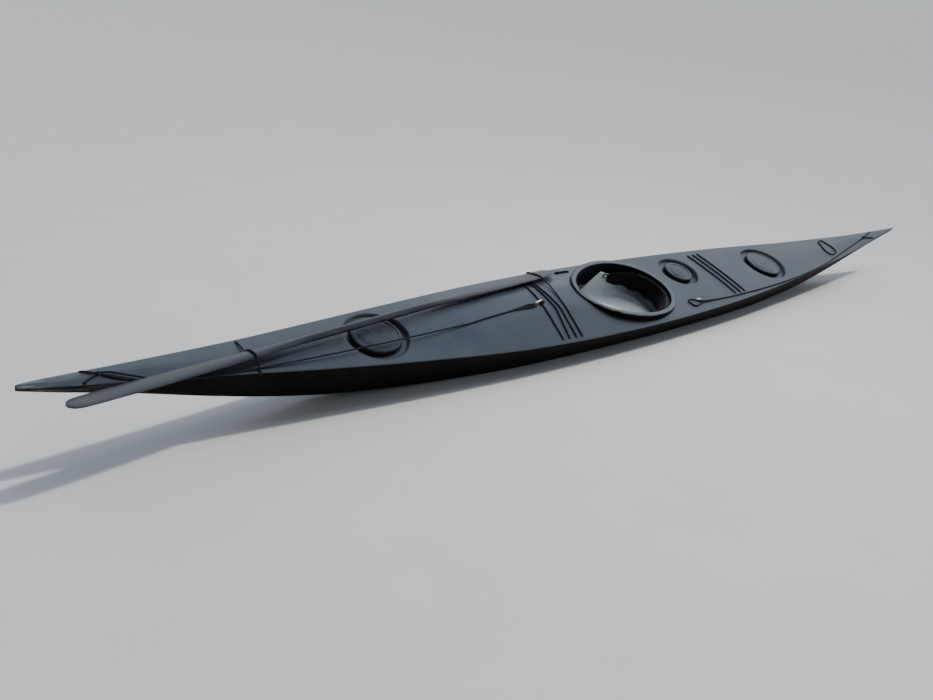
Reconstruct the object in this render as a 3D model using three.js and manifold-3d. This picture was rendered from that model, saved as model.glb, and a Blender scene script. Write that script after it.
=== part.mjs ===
// A hard-chined, low-volume sea kayak of the Greenland type, with its stowed Greenland paddle.
// Sizes are millimetres. The boat is drawn upright in its own frame: X towards the bow from amidships,
// Y to port and Z up from the keel. At the end it is laid over on its port bottom panel, as it rests
// ashore.
import * as THREE from 'three';
import { mergeVertices } from 'three/addons/utils/BufferGeometryUtils.js';
import Module from 'manifold-3d';

const wasm = await Module();
wasm.setup();

// Driving dimensions
const HALF_LENGTH = 2725;
const SHELL = 4;
const GAP = 0.3;
const DEADRISE = 18;
const KEEL_HALF = 6;
const SEAM_DROP = 3;
const CORD_R = 2.5;
// Reach of the cutting blocks, past the whole section
const BEYOND = 500;
// Shares of a panel's width: how much the chine's corner is cut off, and where the side bulges and how far
const CHINE_CUT = 0.04;
const SIDE_MIDDLE = 0.5;
const SIDE_BULGE = 0.02;

// The boat's lines. Columns: x, half-breadth at the sheer, sheer height, keel height,
// chine half-breadth, deadrise in degrees of the bottom panel.
const LINES = [
  [-2725, 4, 316, 298, 3, 50],
  [-2450, 38, 286, 214, 20, 50],
  [-2200, 72, 260, 128, 42, 50],
  [-1900, 112, 240, 52, 74, 42],
  [-1600, 145, 227, 13, 103, 31],
  [-1000, 209, 214, 0, 156, 18],
  [-400, 246, 209, 0, 188, 18],
  [200, 256, 213, 0, 196, 18],
  [800, 234, 222, 0, 178, 18],
  [1400, 172, 243, 4, 124, 25],
  [1700, 134, 257, 22, 92, 33],
  [2000, 93, 275, 78, 60, 42],
  [2450, 42, 309, 229, 24, 48],
  [2660, 19, 327, 293, 10, 50],
  [2725, 8, 333, 313, 4, 50],
];
// The deck. Columns: x, height of the deck's middle above the sheer, half-width of its raised middle.
const DECK = [
  [-2725, 2, 2],
  [-2300, 8, 20],
  [-1900, 8, 40],
  [-1220, 6, 90],
  [-600, 7, 100],
  [-320, 4.5, 100],
  [-100, 20, 92],
  [380, 56, 78],
  [700, 52, 72],
  [1000, 38, 66],
  [1330, 16, 58],
  [1700, 9, 45],
  [2300, 7, 18],
  [2725, 2, 2],
];
const STATIONS = [-2725, -2620, -2450, -2325, -2200, -2050, -1900, -1750, -1600, -1400, -1200, -1000,
  -800, -600, -400, -300, -200, 0, 200, 350, 500, 650, 800, 950, 1100, 1250, 1400, 1550, 1700, 1850, 2000,
  2150, 2300, 2450, 2600, 2725];
const HOLD_END = 2460;

function columnsOf(table) {
  const places = table.map((row) => row[0]);
  const values = table.flatMap((row) => row.slice(1));
  const curve = new THREE.CubicInterpolant(places, values, table[0].length - 1);
  return (x) => Array.from(curve.evaluate(x));
}
const lineColumns = columnsOf(LINES);
const deckColumns = columnsOf(DECK);

function linesAt(x) {
  const [breadth, sheer, keel, chine, deadrise] = lineColumns(x);
  const [rise, crownHalf] = deckColumns(x);
  const rest = Math.max(keel, 0);
  const keelHalf = Math.min(KEEL_HALF, 0.4 * chine);
  const slope = Math.tan(THREE.MathUtils.degToRad(Math.max(deadrise, DEADRISE)));
  const chineHeight = rest + (chine - keelHalf) * slope;
  return { breadth, sheer, keel: rest, keelHalf, chine, chineHeight, rise, crownHalf };
}

// Height of the deck's outside at a place in plan.
function deckHeight(x, y) {
  const { breadth, sheer, rise, crownHalf } = linesAt(x);
  const shoulder = 0.94 * rise;
  const off = Math.abs(y);
  if (off <= crownHalf) return sheer + THREE.MathUtils.mapLinear(off, 0, crownHalf, rise, shoulder);
  return sheer + THREE.MathUtils.mapLinear(off, crownHalf, breadth, shoulder, 0);
}

// The hull below the seam, in lengths that part at the bulkheads. Columns: name, after end, forward end
const HULL_LENGTHS = [['stern', -2800, -1520], ['rear_hold', -1520, -665], ['day_hold', -665, -372],
  ['seat', -372, 300], ['legs', 300, 985], ['front_hold', 985, 1900], ['bow', 1900, 2800]];
// The deck above the seam, parted over two of the bulkheads. Columns: name, after end, forward end
const DECK_LENGTHS = [['aft', -2800, -665], ['middle', -665, 985], ['fore', 985, 2800]];

// One closed section of the boat, as points in Y and Z, port half first, moved in by an inset.
function section(x, inset) {
  const { breadth, sheer, keel, keelHalf, chine, chineHeight, rise, crownHalf } = linesAt(x);
  const bottom = (share) => [THREE.MathUtils.lerp(keelHalf, chine, share),
    THREE.MathUtils.lerp(keel, chineHeight, share)];
  const side = (share, bulge = 0) => [THREE.MathUtils.lerp(chine, breadth, share) + bulge,
    THREE.MathUtils.lerp(chineHeight, sheer, share)];
  const port = [
    bottom(0),
    bottom(1 - CHINE_CUT),
    side(CHINE_CUT),
    side(SIDE_MIDDLE, SIDE_BULGE * breadth),
    side(1),
    [crownHalf, sheer + 0.94 * rise],
    [0.6 * crownHalf, sheer + 0.985 * rise],
  ].map(([y, z]) => new THREE.Vector2(y, z));
  const starboard = port.map((p) => new THREE.Vector2(-p.x, p.y)).reverse();
  return insetOutline([...port, new THREE.Vector2(0, sheer + rise), ...starboard], inset);
}

// Moves a counter-clockwise outline in by a distance, each corner along its bisector.
function insetOutline(outline, distance) {
  if (distance === 0) return outline;
  const normal = (a, b) => new THREE.Vector2(a.y - b.y, b.x - a.x).normalize();
  return outline.map((point, i) => {
    const before = normal(outline.at(i - 1), point);
    const after = normal(point, outline[(i + 1) % outline.length]);
    const bisector = before.clone().add(after).normalize();
    return point.clone().addScaledVector(bisector, distance / bisector.dot(after));
  });
}

// A closed skin over rings of equal point counts. Open runs get flat end caps.
function skin(rings, closed = false) {
  const count = rings[0].length;
  const index = [];
  const spans = closed ? rings.length : rings.length - 1;
  for (let i = 0; i < spans; i += 1) {
    const here = i * count;
    const next = ((i + 1) % rings.length) * count;
    for (let j = 0; j < count; j += 1) {
      const k = (j + 1) % count;
      index.push(here + j, next + j, here + k, here + k, next + j, next + k);
    }
  }
  if (!closed) {
    const cap = (ring) => {
      const outline = flatten(ring);
      const faces = THREE.ShapeUtils.triangulateShape(outline, []);
      return THREE.ShapeUtils.isClockWise(outline) ? faces.map((face) => [...face].reverse()) : faces;
    };
    const lastRing = (rings.length - 1) * count;
    for (const [a, b, c] of cap(rings[0])) index.push(a, b, c);
    for (const [a, b, c] of cap(rings.at(-1))) index.push(lastRing + a, lastRing + c, lastRing + b);
  }
  const geometry = new THREE.BufferGeometry();
  const numbers = rings.flat().flatMap((p) => [p.x, p.y, p.z]);
  geometry.setAttribute('position', new THREE.Float32BufferAttribute(numbers, 3));
  geometry.setIndex(index);
  return facingOut(geometry);
}

// A ring's points in the two directions that it spans most.
function flatten(ring) {
  const box = new THREE.Box3().setFromPoints(ring);
  const size = box.getSize(new THREE.Vector3());
  if (size.x <= size.y && size.x <= size.z) return ring.map((p) => new THREE.Vector2(p.y, p.z));
  if (size.y <= size.z) return ring.map((p) => new THREE.Vector2(p.z, p.x));
  return ring.map((p) => new THREE.Vector2(p.x, p.y));
}

function signedVolume(geometry) {
  const place = geometry.attributes.position;
  const [a, b, c] = [new THREE.Vector3(), new THREE.Vector3(), new THREE.Vector3()];
  let volume = 0;
  for (let i = 0; i < geometry.index.count; i += 3) {
    a.fromBufferAttribute(place, geometry.index.getX(i));
    b.fromBufferAttribute(place, geometry.index.getX(i + 1));
    c.fromBufferAttribute(place, geometry.index.getX(i + 2));
    volume += a.dot(b.cross(c)) / 6;
  }
  return volume;
}

function facingOut(geometry) {
  if (signedVolume(geometry) < 0) geometry.index.array.reverse();
  return geometry;
}

function solidOf(geometry) {
  const bare = geometry.clone();
  bare.deleteAttribute('normal');
  bare.deleteAttribute('uv');
  const merged = mergeVertices(bare, 1e-3);
  return new wasm.Manifold(new wasm.Mesh({
    numProp: 3,
    vertProperties: new Float32Array(merged.attributes.position.array),
    triVerts: new Uint32Array(merged.index.array),
  }));
}

function geometryOf(solid) {
  const mesh = solid.getMesh();
  const geometry = new THREE.BufferGeometry();
  geometry.setAttribute('position', new THREE.BufferAttribute(mesh.vertProperties, 3));
  geometry.setIndex(new THREE.BufferAttribute(mesh.triVerts, 1));
  return geometry;
}

const joined = (...geometries) => geometryOf(geometries.map(solidOf)
  .reduce((sum, next) => sum.add(next)));
const cut = (geometry, ...tools) => geometryOf(tools.map(solidOf)
  .reduce((rest, tool) => rest.subtract(tool), solidOf(geometry)));
const common = (first, second) => geometryOf(solidOf(first).intersect(solidOf(second)));

function block(x0, x1, y0, y1, z0, z1) {
  const geometry = new THREE.BoxGeometry(x1 - x0, y1 - y0, z1 - z0);
  return geometry.translate((x0 + x1) / 2, (y0 + y1) / 2, (z0 + z1) / 2);
}

// A flat outline in X and Z, made into a plate across the boat from y0 to y1.
function plate(outline, y0, y1) {
  const shape = new THREE.Shape(outline.map(([x, z]) => new THREE.Vector2(x, z)));
  const geometry = new THREE.ExtrudeGeometry(shape, { depth: y1 - y0, bevelEnabled: false });
  return geometry.rotateX(Math.PI / 2).translate(0, y1, 0);
}

function drum(radius, x, y, z0, z1, sides = 36) {
  return new THREE.CylinderGeometry(radius, radius, z1 - z0, sides).rotateX(Math.PI / 2)
    .translate(x, y, (z0 + z1) / 2);
}

// A closed profile in radius and height, turned about an upright axis.
function turned(profile, x, y, z, sides = 32) {
  const points = [...profile, profile[0]].map(([r, h]) => new THREE.Vector2(r, h));
  const lathe = mergeVertices(stripped(new THREE.LatheGeometry(points, sides)), 1e-3);
  return facingOut(lathe.rotateX(Math.PI / 2).translate(x, y, z));
}

function stripped(geometry) {
  geometry.deleteAttribute('normal');
  geometry.deleteAttribute('uv');
  return geometry;
}

// A round cord through hand-placed points.
function cord(points, { radius = CORD_R, steps = 4 * (points.length - 1), loop = false } = {}) {
  const route = new THREE.CatmullRomCurve3(points.map(([x, y, z]) => new THREE.Vector3(x, y, z)), loop,
    'centripetal');
  const round = new THREE.Shape(Array.from({ length: 8 }, (_, i) => {
    const angle = (i + 0.5) * Math.PI / 4;
    return new THREE.Vector2(radius * Math.cos(angle), radius * Math.sin(angle));
  }));
  return new THREE.ExtrudeGeometry(round, { steps, extrudePath: route, bevelEnabled: false });
}

const part = new THREE.Group();
part.name = 'kayak';

function add(name, geometry, material) {
  const flat = geometry.index ? geometry.toNonIndexed() : geometry;
  flat.computeVertexNormals();
  const mesh = new THREE.Mesh(flat, material);
  mesh.name = name;
  part.add(mesh);
  return mesh;
}

const finish = (color, roughness, metalness = 0) => new THREE.MeshStandardMaterial({
  color, roughness, metalness });
const matteBlack = finish(0x2b2f33, 0.55);
const innerGrey = finish(0xa8b0aa, 0.6);
const rubberBlack = finish(0x1d1f21, 0.75);
const cordBlack = finish(0x101214, 0.8);
const padBlack = finish(0x17181a, 0.9);
const paleFitting = finish(0xd8d4c8, 0.4);
const aluminium = finish(0xb8bcc0, 0.3, 1);
const paddleBlack = finish(0x33383d, 0.5);

// Hull and deck: one moulded skin, parted a little below the sheer
const boatSolid = (inset, half) => {
  const places = inset === 0 ? STATIONS : [-half, ...STATIONS.filter((x) => Math.abs(x) < half - 20), half];
  return skin(places.map((x) => section(x, inset).map((p) => new THREE.Vector3(x, p.x, p.y))));
};
const outside = boatSolid(0, HALF_LENGTH);
const inside = boatSolid(SHELL, HOLD_END);
const insideFit = boatSolid(SHELL + GAP, HOLD_END - 1);
const shell = cut(outside, inside);
const belowSeam = (lift) => {
  const top = STATIONS.map((x) => [x * 1.01, linesAt(x).sheer - SEAM_DROP + lift]);
  return plate([[top[0][0], -BEYOND], [top.at(-1)[0], -BEYOND], ...top.reverse()], -BEYOND, BEYOND);
};

// Cockpit: an egg-shaped opening, wider towards the seat
const COCKPIT = { x: 19, half: 311, wide: 202, egg: -0.095, front: 275.5, back: 222.5, lip: 26.5, wall: 5,
  low: 150, high: 320 };
const COAMING_TURNS = 44;
function eggPoint(angle, out, oval = COCKPIT) {
  const x = oval.half * Math.cos(angle);
  const y = oval.wide * Math.sin(angle) * (1 + oval.egg * Math.cos(angle));
  const next = angle + 1e-3;
  const dx = oval.half * Math.cos(next) - x;
  const dy = oval.wide * Math.sin(next) * (1 + oval.egg * Math.cos(next)) - y;
  const size = Math.hypot(dx, dy);
  return [oval.x + x + out * dy / size, y - out * dx / size];
}
const angles = Array.from({ length: COAMING_TURNS }, (_, i) => 2 * Math.PI * i / COAMING_TURNS);
const rimHeight = (x) => THREE.MathUtils.mapLinear(x, COCKPIT.x - COCKPIT.half, COCKPIT.x + COCKPIT.half,
  COCKPIT.back, COCKPIT.front);
const lipHeight = (x) => rimHeight(x) - COCKPIT.wall;
function eggPrism(out, z0, z1) {
  const shape = new THREE.Shape(angles.map((angle) => new THREE.Vector2(...eggPoint(angle, out))));
  return new THREE.ExtrudeGeometry(shape, { depth: z1 - z0, bevelEnabled: false }).translate(0, 0, z0);
}

// Hatches, each a round cover on a neck that stands in a recess of the deck
const RECESS = { deep: 24, over: 60, under: 40, neckIn: 14, neckGap: 0.6, sides: 36 };
// Columns: name, x, y, recess radius, cover radius
const HATCHES = [
  ['front', 1466, 0, 136, 105],
  ['day', -515, -74, 116, 79],
  ['rear', -1222, 0, 142, 106],
].map(([name, x, y, recess, cover]) => ({
  name, x, y, recess, cover, deck: deckHeight(x, y), neck: cover - RECESS.neckIn }));
const recessPans = HATCHES.map(({ x, y, recess, deck, neck }) => turned([
  [neck + RECESS.neckGap, -RECESS.deep - SHELL], [recess + SHELL, -RECESS.deep - SHELL],
  [recess + SHELL, RECESS.over], [recess, RECESS.over], [recess, -RECESS.deep],
  [neck + RECESS.neckGap, -RECESS.deep]], x, y, deck, RECESS.sides));
const recessCuts = HATCHES.map(({ x, y, recess, deck }) => drum(recess + 1, x, y, deck - RECESS.under,
  deck + RECESS.over, RECESS.sides));

// Skeg slider slot in the starboard side deck
const SLIDER = { x: 272, y: -205, length: 90, width: 13, deep: 18, wall: 3, lip: 0.5 };
const sliderTilt = Math.atan2(deckHeight(SLIDER.x, SLIDER.y + SLIDER.width)
  - deckHeight(SLIDER.x, SLIDER.y - SLIDER.width), 2 * SLIDER.width);
function onSideDeck(geometry) {
  return geometry.rotateX(sliderTilt).translate(SLIDER.x, SLIDER.y, deckHeight(SLIDER.x, SLIDER.y));
}
const sliderBlock = (grow, z0, z1) => block(-SLIDER.length / 2 - grow, SLIDER.length / 2 + grow,
  -SLIDER.width / 2 - grow, SLIDER.width / 2 + grow, z0, z1);

// Skeg: a plate that drops from a box in the keel
const SKEG = { pivotX: -1600, pivotZ: 46, slotHalf: 7.5, bladeHalf: 2.5, pin: 5, front: -1568, back: -1850,
  top: 176 };
const skegCavity = block(SKEG.back, SKEG.front, -SKEG.slotHalf, SKEG.slotHalf, -20, SKEG.top);

const deckPlain = cut(shell, belowSeam(GAP), ...recessCuts,
  eggPrism(COCKPIT.wall + GAP, COCKPIT.low, COCKPIT.high),
  onSideDeck(sliderBlock(GAP, -2 * SLIDER.deep, 2 * SLIDER.deep)));
const pansInBoat = recessPans.map((pan) => common(pan, outside));
const wholeDeck = joined(deckPlain, ...pansInBoat);
const wholeHull = cut(common(shell, belowSeam(0)), skegCavity);
const moulded = [['deck', wholeDeck, DECK_LENGTHS], ['hull', wholeHull, HULL_LENGTHS]];
for (const [prefix, whole, lengths] of moulded) {
  for (const [name, after, forward] of lengths) {
    const length = block(after + GAP / 2, forward - GAP / 2, -BEYOND, BEYOND, -BEYOND, BEYOND);
    add(`${prefix}_${name}`, common(whole, length), matteBlack);
  }
}

// Coaming: an upright wall through the deck with a lip turned outwards
const COAMING_ROOT = 12;
const coaming = skin(angles.map((angle) => {
  const root = deckHeight(...eggPoint(angle, COCKPIT.wall)) - COAMING_ROOT;
  const rings = [
    [0, () => root], [0, rimHeight], [COCKPIT.lip, rimHeight], [COCKPIT.lip, lipHeight],
    [COCKPIT.wall, lipHeight], [COCKPIT.wall, () => root],
  ];
  return rings.map(([out, heightAt]) => {
    const [x, y] = eggPoint(angle, out);
    return new THREE.Vector3(x, y, heightAt(x));
  });
}), true);
add('cockpit_coaming', coaming, matteBlack);

// Hatch rims and covers. Heights are above the recess's floor
const RIM = { wall: 4, below: 8, top: 19, flangeOut: 4, flangeTop: 3 };
const COVER = { under: 19.4, middle: 26.5 };
// The cover's edge. Columns: distance in from its widest, height
const COVER_EDGE = [[5, 19.4], [5, 8], [0, 8], [0, 21], [4, 25], [16, 26], [22, 24.5]];
for (const { name, x, y, cover, deck, neck } of HATCHES) {
  const floor = deck - RECESS.deep;
  add(`${name}_hatch_rim`, turned([
    [neck - RIM.wall, -RIM.below], [neck, -RIM.below], [neck, GAP], [cover + RIM.flangeOut, GAP],
    [cover + RIM.flangeOut, RIM.flangeTop], [neck + RIM.wall, RIM.flangeTop], [neck + RIM.wall, RIM.top],
    [neck - RIM.wall, RIM.top]], x, y, floor), rubberBlack);
  const coverEdge = COVER_EDGE.map(([inward, up]) => [cover - inward, up]);
  add(`${name}_hatch_cover`, turned([[0, COVER.under], ...coverEdge, [0, COVER.middle]], x, y, floor),
    rubberBlack);
}

// Seat pan: a shallow bucket that sits on the bottom panels, with high cheeks that slope down in front
const SEAT = { thick: 4, hollow: 10, flatHalf: 80, sitHalf: 150, cheekFoot: 176, cheekFootUp: 24,
  cheekHalf: 184, cheekWaist: 158, waistDown: 3, cheekOut: 2 };
// Columns: x of a section, height of the cheek's top edge there
const SEAT_TOPS = [[-285, 188], [-220, 196], [-150, 199], [-75, 205], [0, 208], [46, 158], [92, 104]];
const panelAngle = THREE.MathUtils.degToRad(DEADRISE);
const bottomInside = (y) => (y - KEEL_HALF) * Math.tan(panelAngle) + SHELL / Math.cos(panelAngle);
const seatRings = SEAT_TOPS.map(([x, top]) => {
  const sit = bottomInside(SEAT.sitHalf) + GAP / Math.cos(panelAngle);
  const waist = Math.min(SEAT.cheekWaist, top - SEAT.waistDown);
  const half = [[0, sit - SEAT.hollow], [SEAT.flatHalf, sit - SEAT.hollow], [SEAT.sitHalf, sit],
    [SEAT.cheekFoot, sit + SEAT.cheekFootUp], [SEAT.cheekHalf, waist],
    [SEAT.cheekHalf + SEAT.cheekOut, top]];
  const mirrored = half.slice(1).map(([y, z]) => [-y, z]).reverse();
  const lower = [...mirrored, ...half].map(([y, z]) => new THREE.Vector2(y, z));
  const upper = lower.map((p, j) => {
    const before = lower[Math.max(j - 1, 0)];
    const after = lower[Math.min(j + 1, lower.length - 1)];
    const along = after.clone().sub(before).normalize();
    return p.clone().add(new THREE.Vector2(-along.y, along.x).multiplyScalar(SEAT.thick));
  }).reverse();
  return [...lower, ...upper].map((p) => new THREE.Vector3(x, p.x, p.y));
});
add('seat_pan', skin(seatRings), innerGrey);

// Padded back band, bent round the after half of the cockpit
const BAND = { inset: 23.9, half: 12, low: 100, high: 208, from: 103, to: 257, steps: 16, endLift: 30,
  edgeHalf: 4, edgeTall: 14, endDrop: 16 };
const BAND_OVAL = { x: 15, half: 300, wide: 178, egg: -0.16 };
const bandRings = Array.from({ length: BAND.steps + 1 }, (_, i) => {
  const angle = THREE.MathUtils.degToRad(THREE.MathUtils.lerp(BAND.from, BAND.to, i / BAND.steps));
  const ends = Math.min(i, BAND.steps - i) / 2;
  const drop = ends < 1 ? BAND.endDrop * (1 - ends) : 0;
  const low = BAND.low + drop + BAND.endLift * (2 * i / BAND.steps - 1) ** 2;
  const high = BAND.high - drop;
  const outline = [[-BAND.half, low + BAND.edgeTall], [-BAND.edgeHalf, low], [BAND.edgeHalf, low],
    [BAND.half, low + BAND.edgeTall], [BAND.half, high - BAND.edgeTall], [BAND.edgeHalf, high],
    [-BAND.edgeHalf, high], [-BAND.half, high - BAND.edgeTall]];
  return outline.map(([out, z]) => {
    const [x, y] = eggPoint(angle, out - BAND.inset + BAND.half, BAND_OVAL);
    return new THREE.Vector3(x, y, z);
  });
});
add('back_band', skin(bandRings), padBlack);

// Bulkheads, glued inside the skin. Columns: name, x of the middle
const BULKHEAD_THICK = 6;
const BULKHEADS = [['front', 985], ['cockpit', -372], ['rear', -665]];
for (const [name, x] of BULKHEADS) {
  const slab = block(x - BULKHEAD_THICK / 2, x + BULKHEAD_THICK / 2, -BEYOND, BEYOND, -BEYOND, BEYOND);
  add(`${name}_bulkhead`, common(insideFit, slab), innerGrey);
}

// Foot rails on the sides, each with a pedal. The slack keeps a rail's ends off the faceted panel.
const RAIL_SLACK = 0.1;
const RAIL = { back: 500, front: 800, low: 110, high: 130, thick: 9 };
const PEDAL = { x: 647, thick: 7, wide: 62, low: 96, tall: 66 };
const sideInside = (x, z) => {
  const { breadth, sheer, chine, chineHeight } = linesAt(x);
  const share = (z - chineHeight) / (sheer - chineHeight);
  const bulge = SIDE_BULGE * breadth * (share - CHINE_CUT) / (SIDE_MIDDLE - CHINE_CUT);
  const lean = Math.atan2(breadth - chine + 2 * SIDE_BULGE * breadth, sheer - chineHeight);
  return THREE.MathUtils.lerp(chine, breadth, share) + bulge - (SHELL + GAP) / Math.cos(lean) - RAIL_SLACK;
};
for (const [side, name] of [[1, 'port'], [-1, 'starboard']]) {
  const sections = [RAIL.back, RAIL.front].map((x) => {
    const [low, high] = [sideInside(x, RAIL.low), sideInside(x, RAIL.high)];
    return [[low, RAIL.low], [high, RAIL.high], [high - RAIL.thick, RAIL.high],
      [low - RAIL.thick, RAIL.low]].map(([y, z]) => new THREE.Vector3(x, side * y, z));
  });
  add(`foot_rail_${name}`, skin(sections), aluminium);
  const yRail = (sections[0][3].y + sections[1][3].y) / 2 * side - GAP;
  const [inner, outer] = [side * (yRail - PEDAL.wide), side * yRail].sort((a, b) => a - b);
  add(`foot_pedal_${name}`, block(PEDAL.x, PEDAL.x + PEDAL.thick, inner, outer, PEDAL.low,
    PEDAL.low + PEDAL.tall), rubberBlack);
}

// Skeg box and skeg
const SKEG_WALL = 4;
const skegBoxOuter = block(SKEG.back - SKEG_WALL, SKEG.front + SKEG_WALL, -SKEG.slotHalf - SKEG_WALL,
  SKEG.slotHalf + SKEG_WALL, 0, SKEG.top + SKEG_WALL);
add('skeg_box', cut(common(skegBoxOuter, insideFit), skegCavity), innerGrey);
// The skeg's outline. Columns: distance forward of the pivot, height above it
const SKEG_OUTLINE = [[16, -18], [-40, -26], [-235, 4], [-232, 24], [-205, 104], [-150, 112], [-60, 62],
  [-10, 20], [14, 14]];
const skegPlate = plate(SKEG_OUTLINE.map(([forward, up]) => [SKEG.pivotX + forward, SKEG.pivotZ + up]),
  -SKEG.bladeHalf, SKEG.bladeHalf);
const skegPin = new THREE.CylinderGeometry(SKEG.pin, SKEG.pin, 2 * (SKEG.slotHalf - GAP), 16)
  .translate(SKEG.pivotX, 0, SKEG.pivotZ);
add('skeg', joined(skegPlate, skegPin), rubberBlack);

// Skeg slider: a tray sunk in the side deck, with its knob
const KNOB = { x: 31, stemLong: 7, stemHalf: 2.5, stemTop: 4, capLong: 9, capHalf: 5, capFoot: 1, capTop: 9 };
const trayFloor = -SLIDER.deep + SLIDER.wall;
const tray = cut(sliderBlock(0, -SLIDER.deep, -SLIDER.lip),
  sliderBlock(-SLIDER.wall, trayFloor, SLIDER.deep));
add('skeg_slider_tray', onSideDeck(tray), rubberBlack);
const knobStem = block(KNOB.x - KNOB.stemLong, KNOB.x + KNOB.stemLong, -KNOB.stemHalf, KNOB.stemHalf,
  trayFloor + GAP, KNOB.stemTop);
const knobCap = block(KNOB.x - KNOB.capLong, KNOB.x + KNOB.capLong, -KNOB.capHalf, KNOB.capHalf,
  KNOB.capFoot, KNOB.capTop);
add('skeg_slider_knob', onSideDeck(joined(knobStem, knobCap)), rubberBlack);

// Paddle: one piece, two narrow blades with round ends. It lies on the foredeck, near edge up.
// Columns: distance from the middle, half-width, half-thickness
const PADDLE = { aft: [358, -204, 248.9], fore: [2614, 123, 335], tilt: 21.5, sides: 12 };
const BLADE = [[0, 16, 14], [257, 16, 14], [329, 18, 13], [442, 26, 11], [576, 35, 9.5], [740, 42.5, 8],
  [977, 46, 6.5], [1080, 44, 5.5], [1116, 39, 5], [1133, 26, 4.5], [1140, 10, 4]];
const aftTip = new THREE.Vector3(...PADDLE.aft);
const foreTip = new THREE.Vector3(...PADDLE.fore);
const paddleAxis = foreTip.clone().sub(aftTip).normalize();
const paddleFlat = new THREE.Vector3(0, 0, 1).cross(paddleAxis).normalize()
  .applyAxisAngle(paddleAxis, THREE.MathUtils.degToRad(PADDLE.tilt));
const paddleUp = paddleAxis.clone().cross(paddleFlat);
const paddleMiddle = aftTip.clone().lerp(foreTip, 0.5);
const onPaddle = (s, across, up) => paddleMiddle.clone().addScaledVector(paddleAxis, s)
  .addScaledVector(paddleFlat, across).addScaledVector(paddleUp, up);
const paddleRows = [...BLADE.slice(1).map(([s, w, t]) => [-s, w, t]).reverse(), ...BLADE];
add('greenland_paddle', skin(paddleRows.map(([s, w, t]) => Array.from({ length: PADDLE.sides }, (_, i) => {
  const angle = 2 * Math.PI * i / PADDLE.sides;
  return onPaddle(s, w * Math.cos(angle), t * Math.sin(angle));
}))), paddleBlack);

// Deck lines lie on the deck or stand taut above it
const CLEAR = 0.5;
const LIE = CORD_R + GAP + CLEAR;
const onDeck = (x, y, lift = LIE) => [x, y, deckHeight(x, y) + lift];
const OVER_PADDLE = [168, 145, 110, 70, 35, 12];
const bladeWidths = columnsOf(BLADE);
const overPaddle = (x) => OVER_PADDLE.map((degrees) => {
  const s = (x - paddleMiddle.x) / paddleAxis.x;
  const [w, t] = bladeWidths(Math.abs(s));
  const turn = THREE.MathUtils.degToRad(degrees);
  const [cos, sin] = [Math.cos(turn), Math.sin(turn)];
  const size = Math.hypot(cos / w, sin / t);
  const off = (LIE + 0.5) / size;
  return onPaddle(s, w * cos + off * cos / w, t * sin + off * sin / t).toArray();
});

// Cross lines before the cockpit. The first goes over the paddle and the others under it.
// Columns: name, x at the starboard hole, at the starboard and port knuckles and at the port hole
const HOLE_SHARE = 0.91;
const farHole = (x) => onDeck(x, -HOLE_SHARE * linesAt(x).breadth);
const nearHole = (x) => onDeck(x, HOLE_SHARE * linesAt(x).breadth);
const knuckles = (x, sides) => sides.map((side) => onDeck(x, side * linesAt(x).crownHalf, LIE + 0.3));
const FORE_LINES = [['b', 510, 540, 532, 536], ['c', 535, 560, 559, 577], ['d', 572, 602, 618, 616]];
add('fore_cross_line_a', cord([farHole(467), ...overPaddle(482), ...knuckles(500, [1]), nearHole(500)],
  { steps: 20 }), cordBlack);
for (const [name, far, starboard, port, near] of FORE_LINES) {
  add(`fore_cross_line_${name}`, cord([farHole(far), ...knuckles(starboard, [-1]), ...knuckles(port, [1]),
    nearHole(near)]), cordBlack);
}

// The line over the fore blade
add('blade_line', cord([onDeck(2014, -72), ...knuckles(2010, [-1]), ...overPaddle(2003), onDeck(1990, 88)],
  { steps: 20 }), cordBlack);

// Cross lines behind the cockpit. Columns: name, x at the far hole, x at the near hole
const AFT_LINES = [['a', -710, -740], ['b', -754, -783], ['c', -796, -824]];
for (const [name, far, near] of AFT_LINES) {
  const middle = (far + near) / 2;
  add(`aft_cross_line_${name}`, cord([onDeck(far, -180), ...knuckles(middle, [-1, 1]), onDeck(near, 172)],
    { steps: 10 }), cordBlack);
}

// Side line and forked end at the bow
const bowKnot = [2497, 0];
const knotRadius = 6;
const knotAt = (knot) => onDeck(...knot, knotRadius + GAP);
const LEG_LIFT = 1.2;
const forkLeg = (knot, end) => cord([knotAt(knot),
  onDeck((knot[0] + end[0]) / 2, (knot[1] + end[1]) / 2, LIE + LEG_LIFT), onDeck(...end)], { steps: 6 });
const forked = (knot, far, near) => joined(
  new THREE.SphereGeometry(knotRadius, 10, 8).translate(...knotAt(knot)),
  forkLeg(knot, far), forkLeg(knot, near));
add('bow_fork_line', forked(bowKnot, [2538, -27], [2541, 27]), cordBlack);
const ridgeTouch = onDeck(1035, 52);
const edgeTouch = onDeck(2025, 77);
const taut = (x, y) => [x, y,
  THREE.MathUtils.mapLinear(x, ridgeTouch[0], edgeTouch[0], ridgeTouch[2], edgeTouch[2])];
add('fore_side_line', cord([onDeck(658, 29), onDeck(740, 30), onDeck(800, 34, LIE + 0.6),
  onDeck(900, 40, LIE + 1), onDeck(970, 46, LIE + 0.8), ridgeTouch, taut(1338, 66), taut(1605, 74),
  taut(1800, 77), edgeTouch, onDeck(2150, 79), onDeck(2280, 66, LIE - 0.3), onDeck(2400, 43, LIE - 0.4),
  onDeck(2455, 22), onDeck(2487, 3)], { steps: 28 }), cordBlack);

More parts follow.
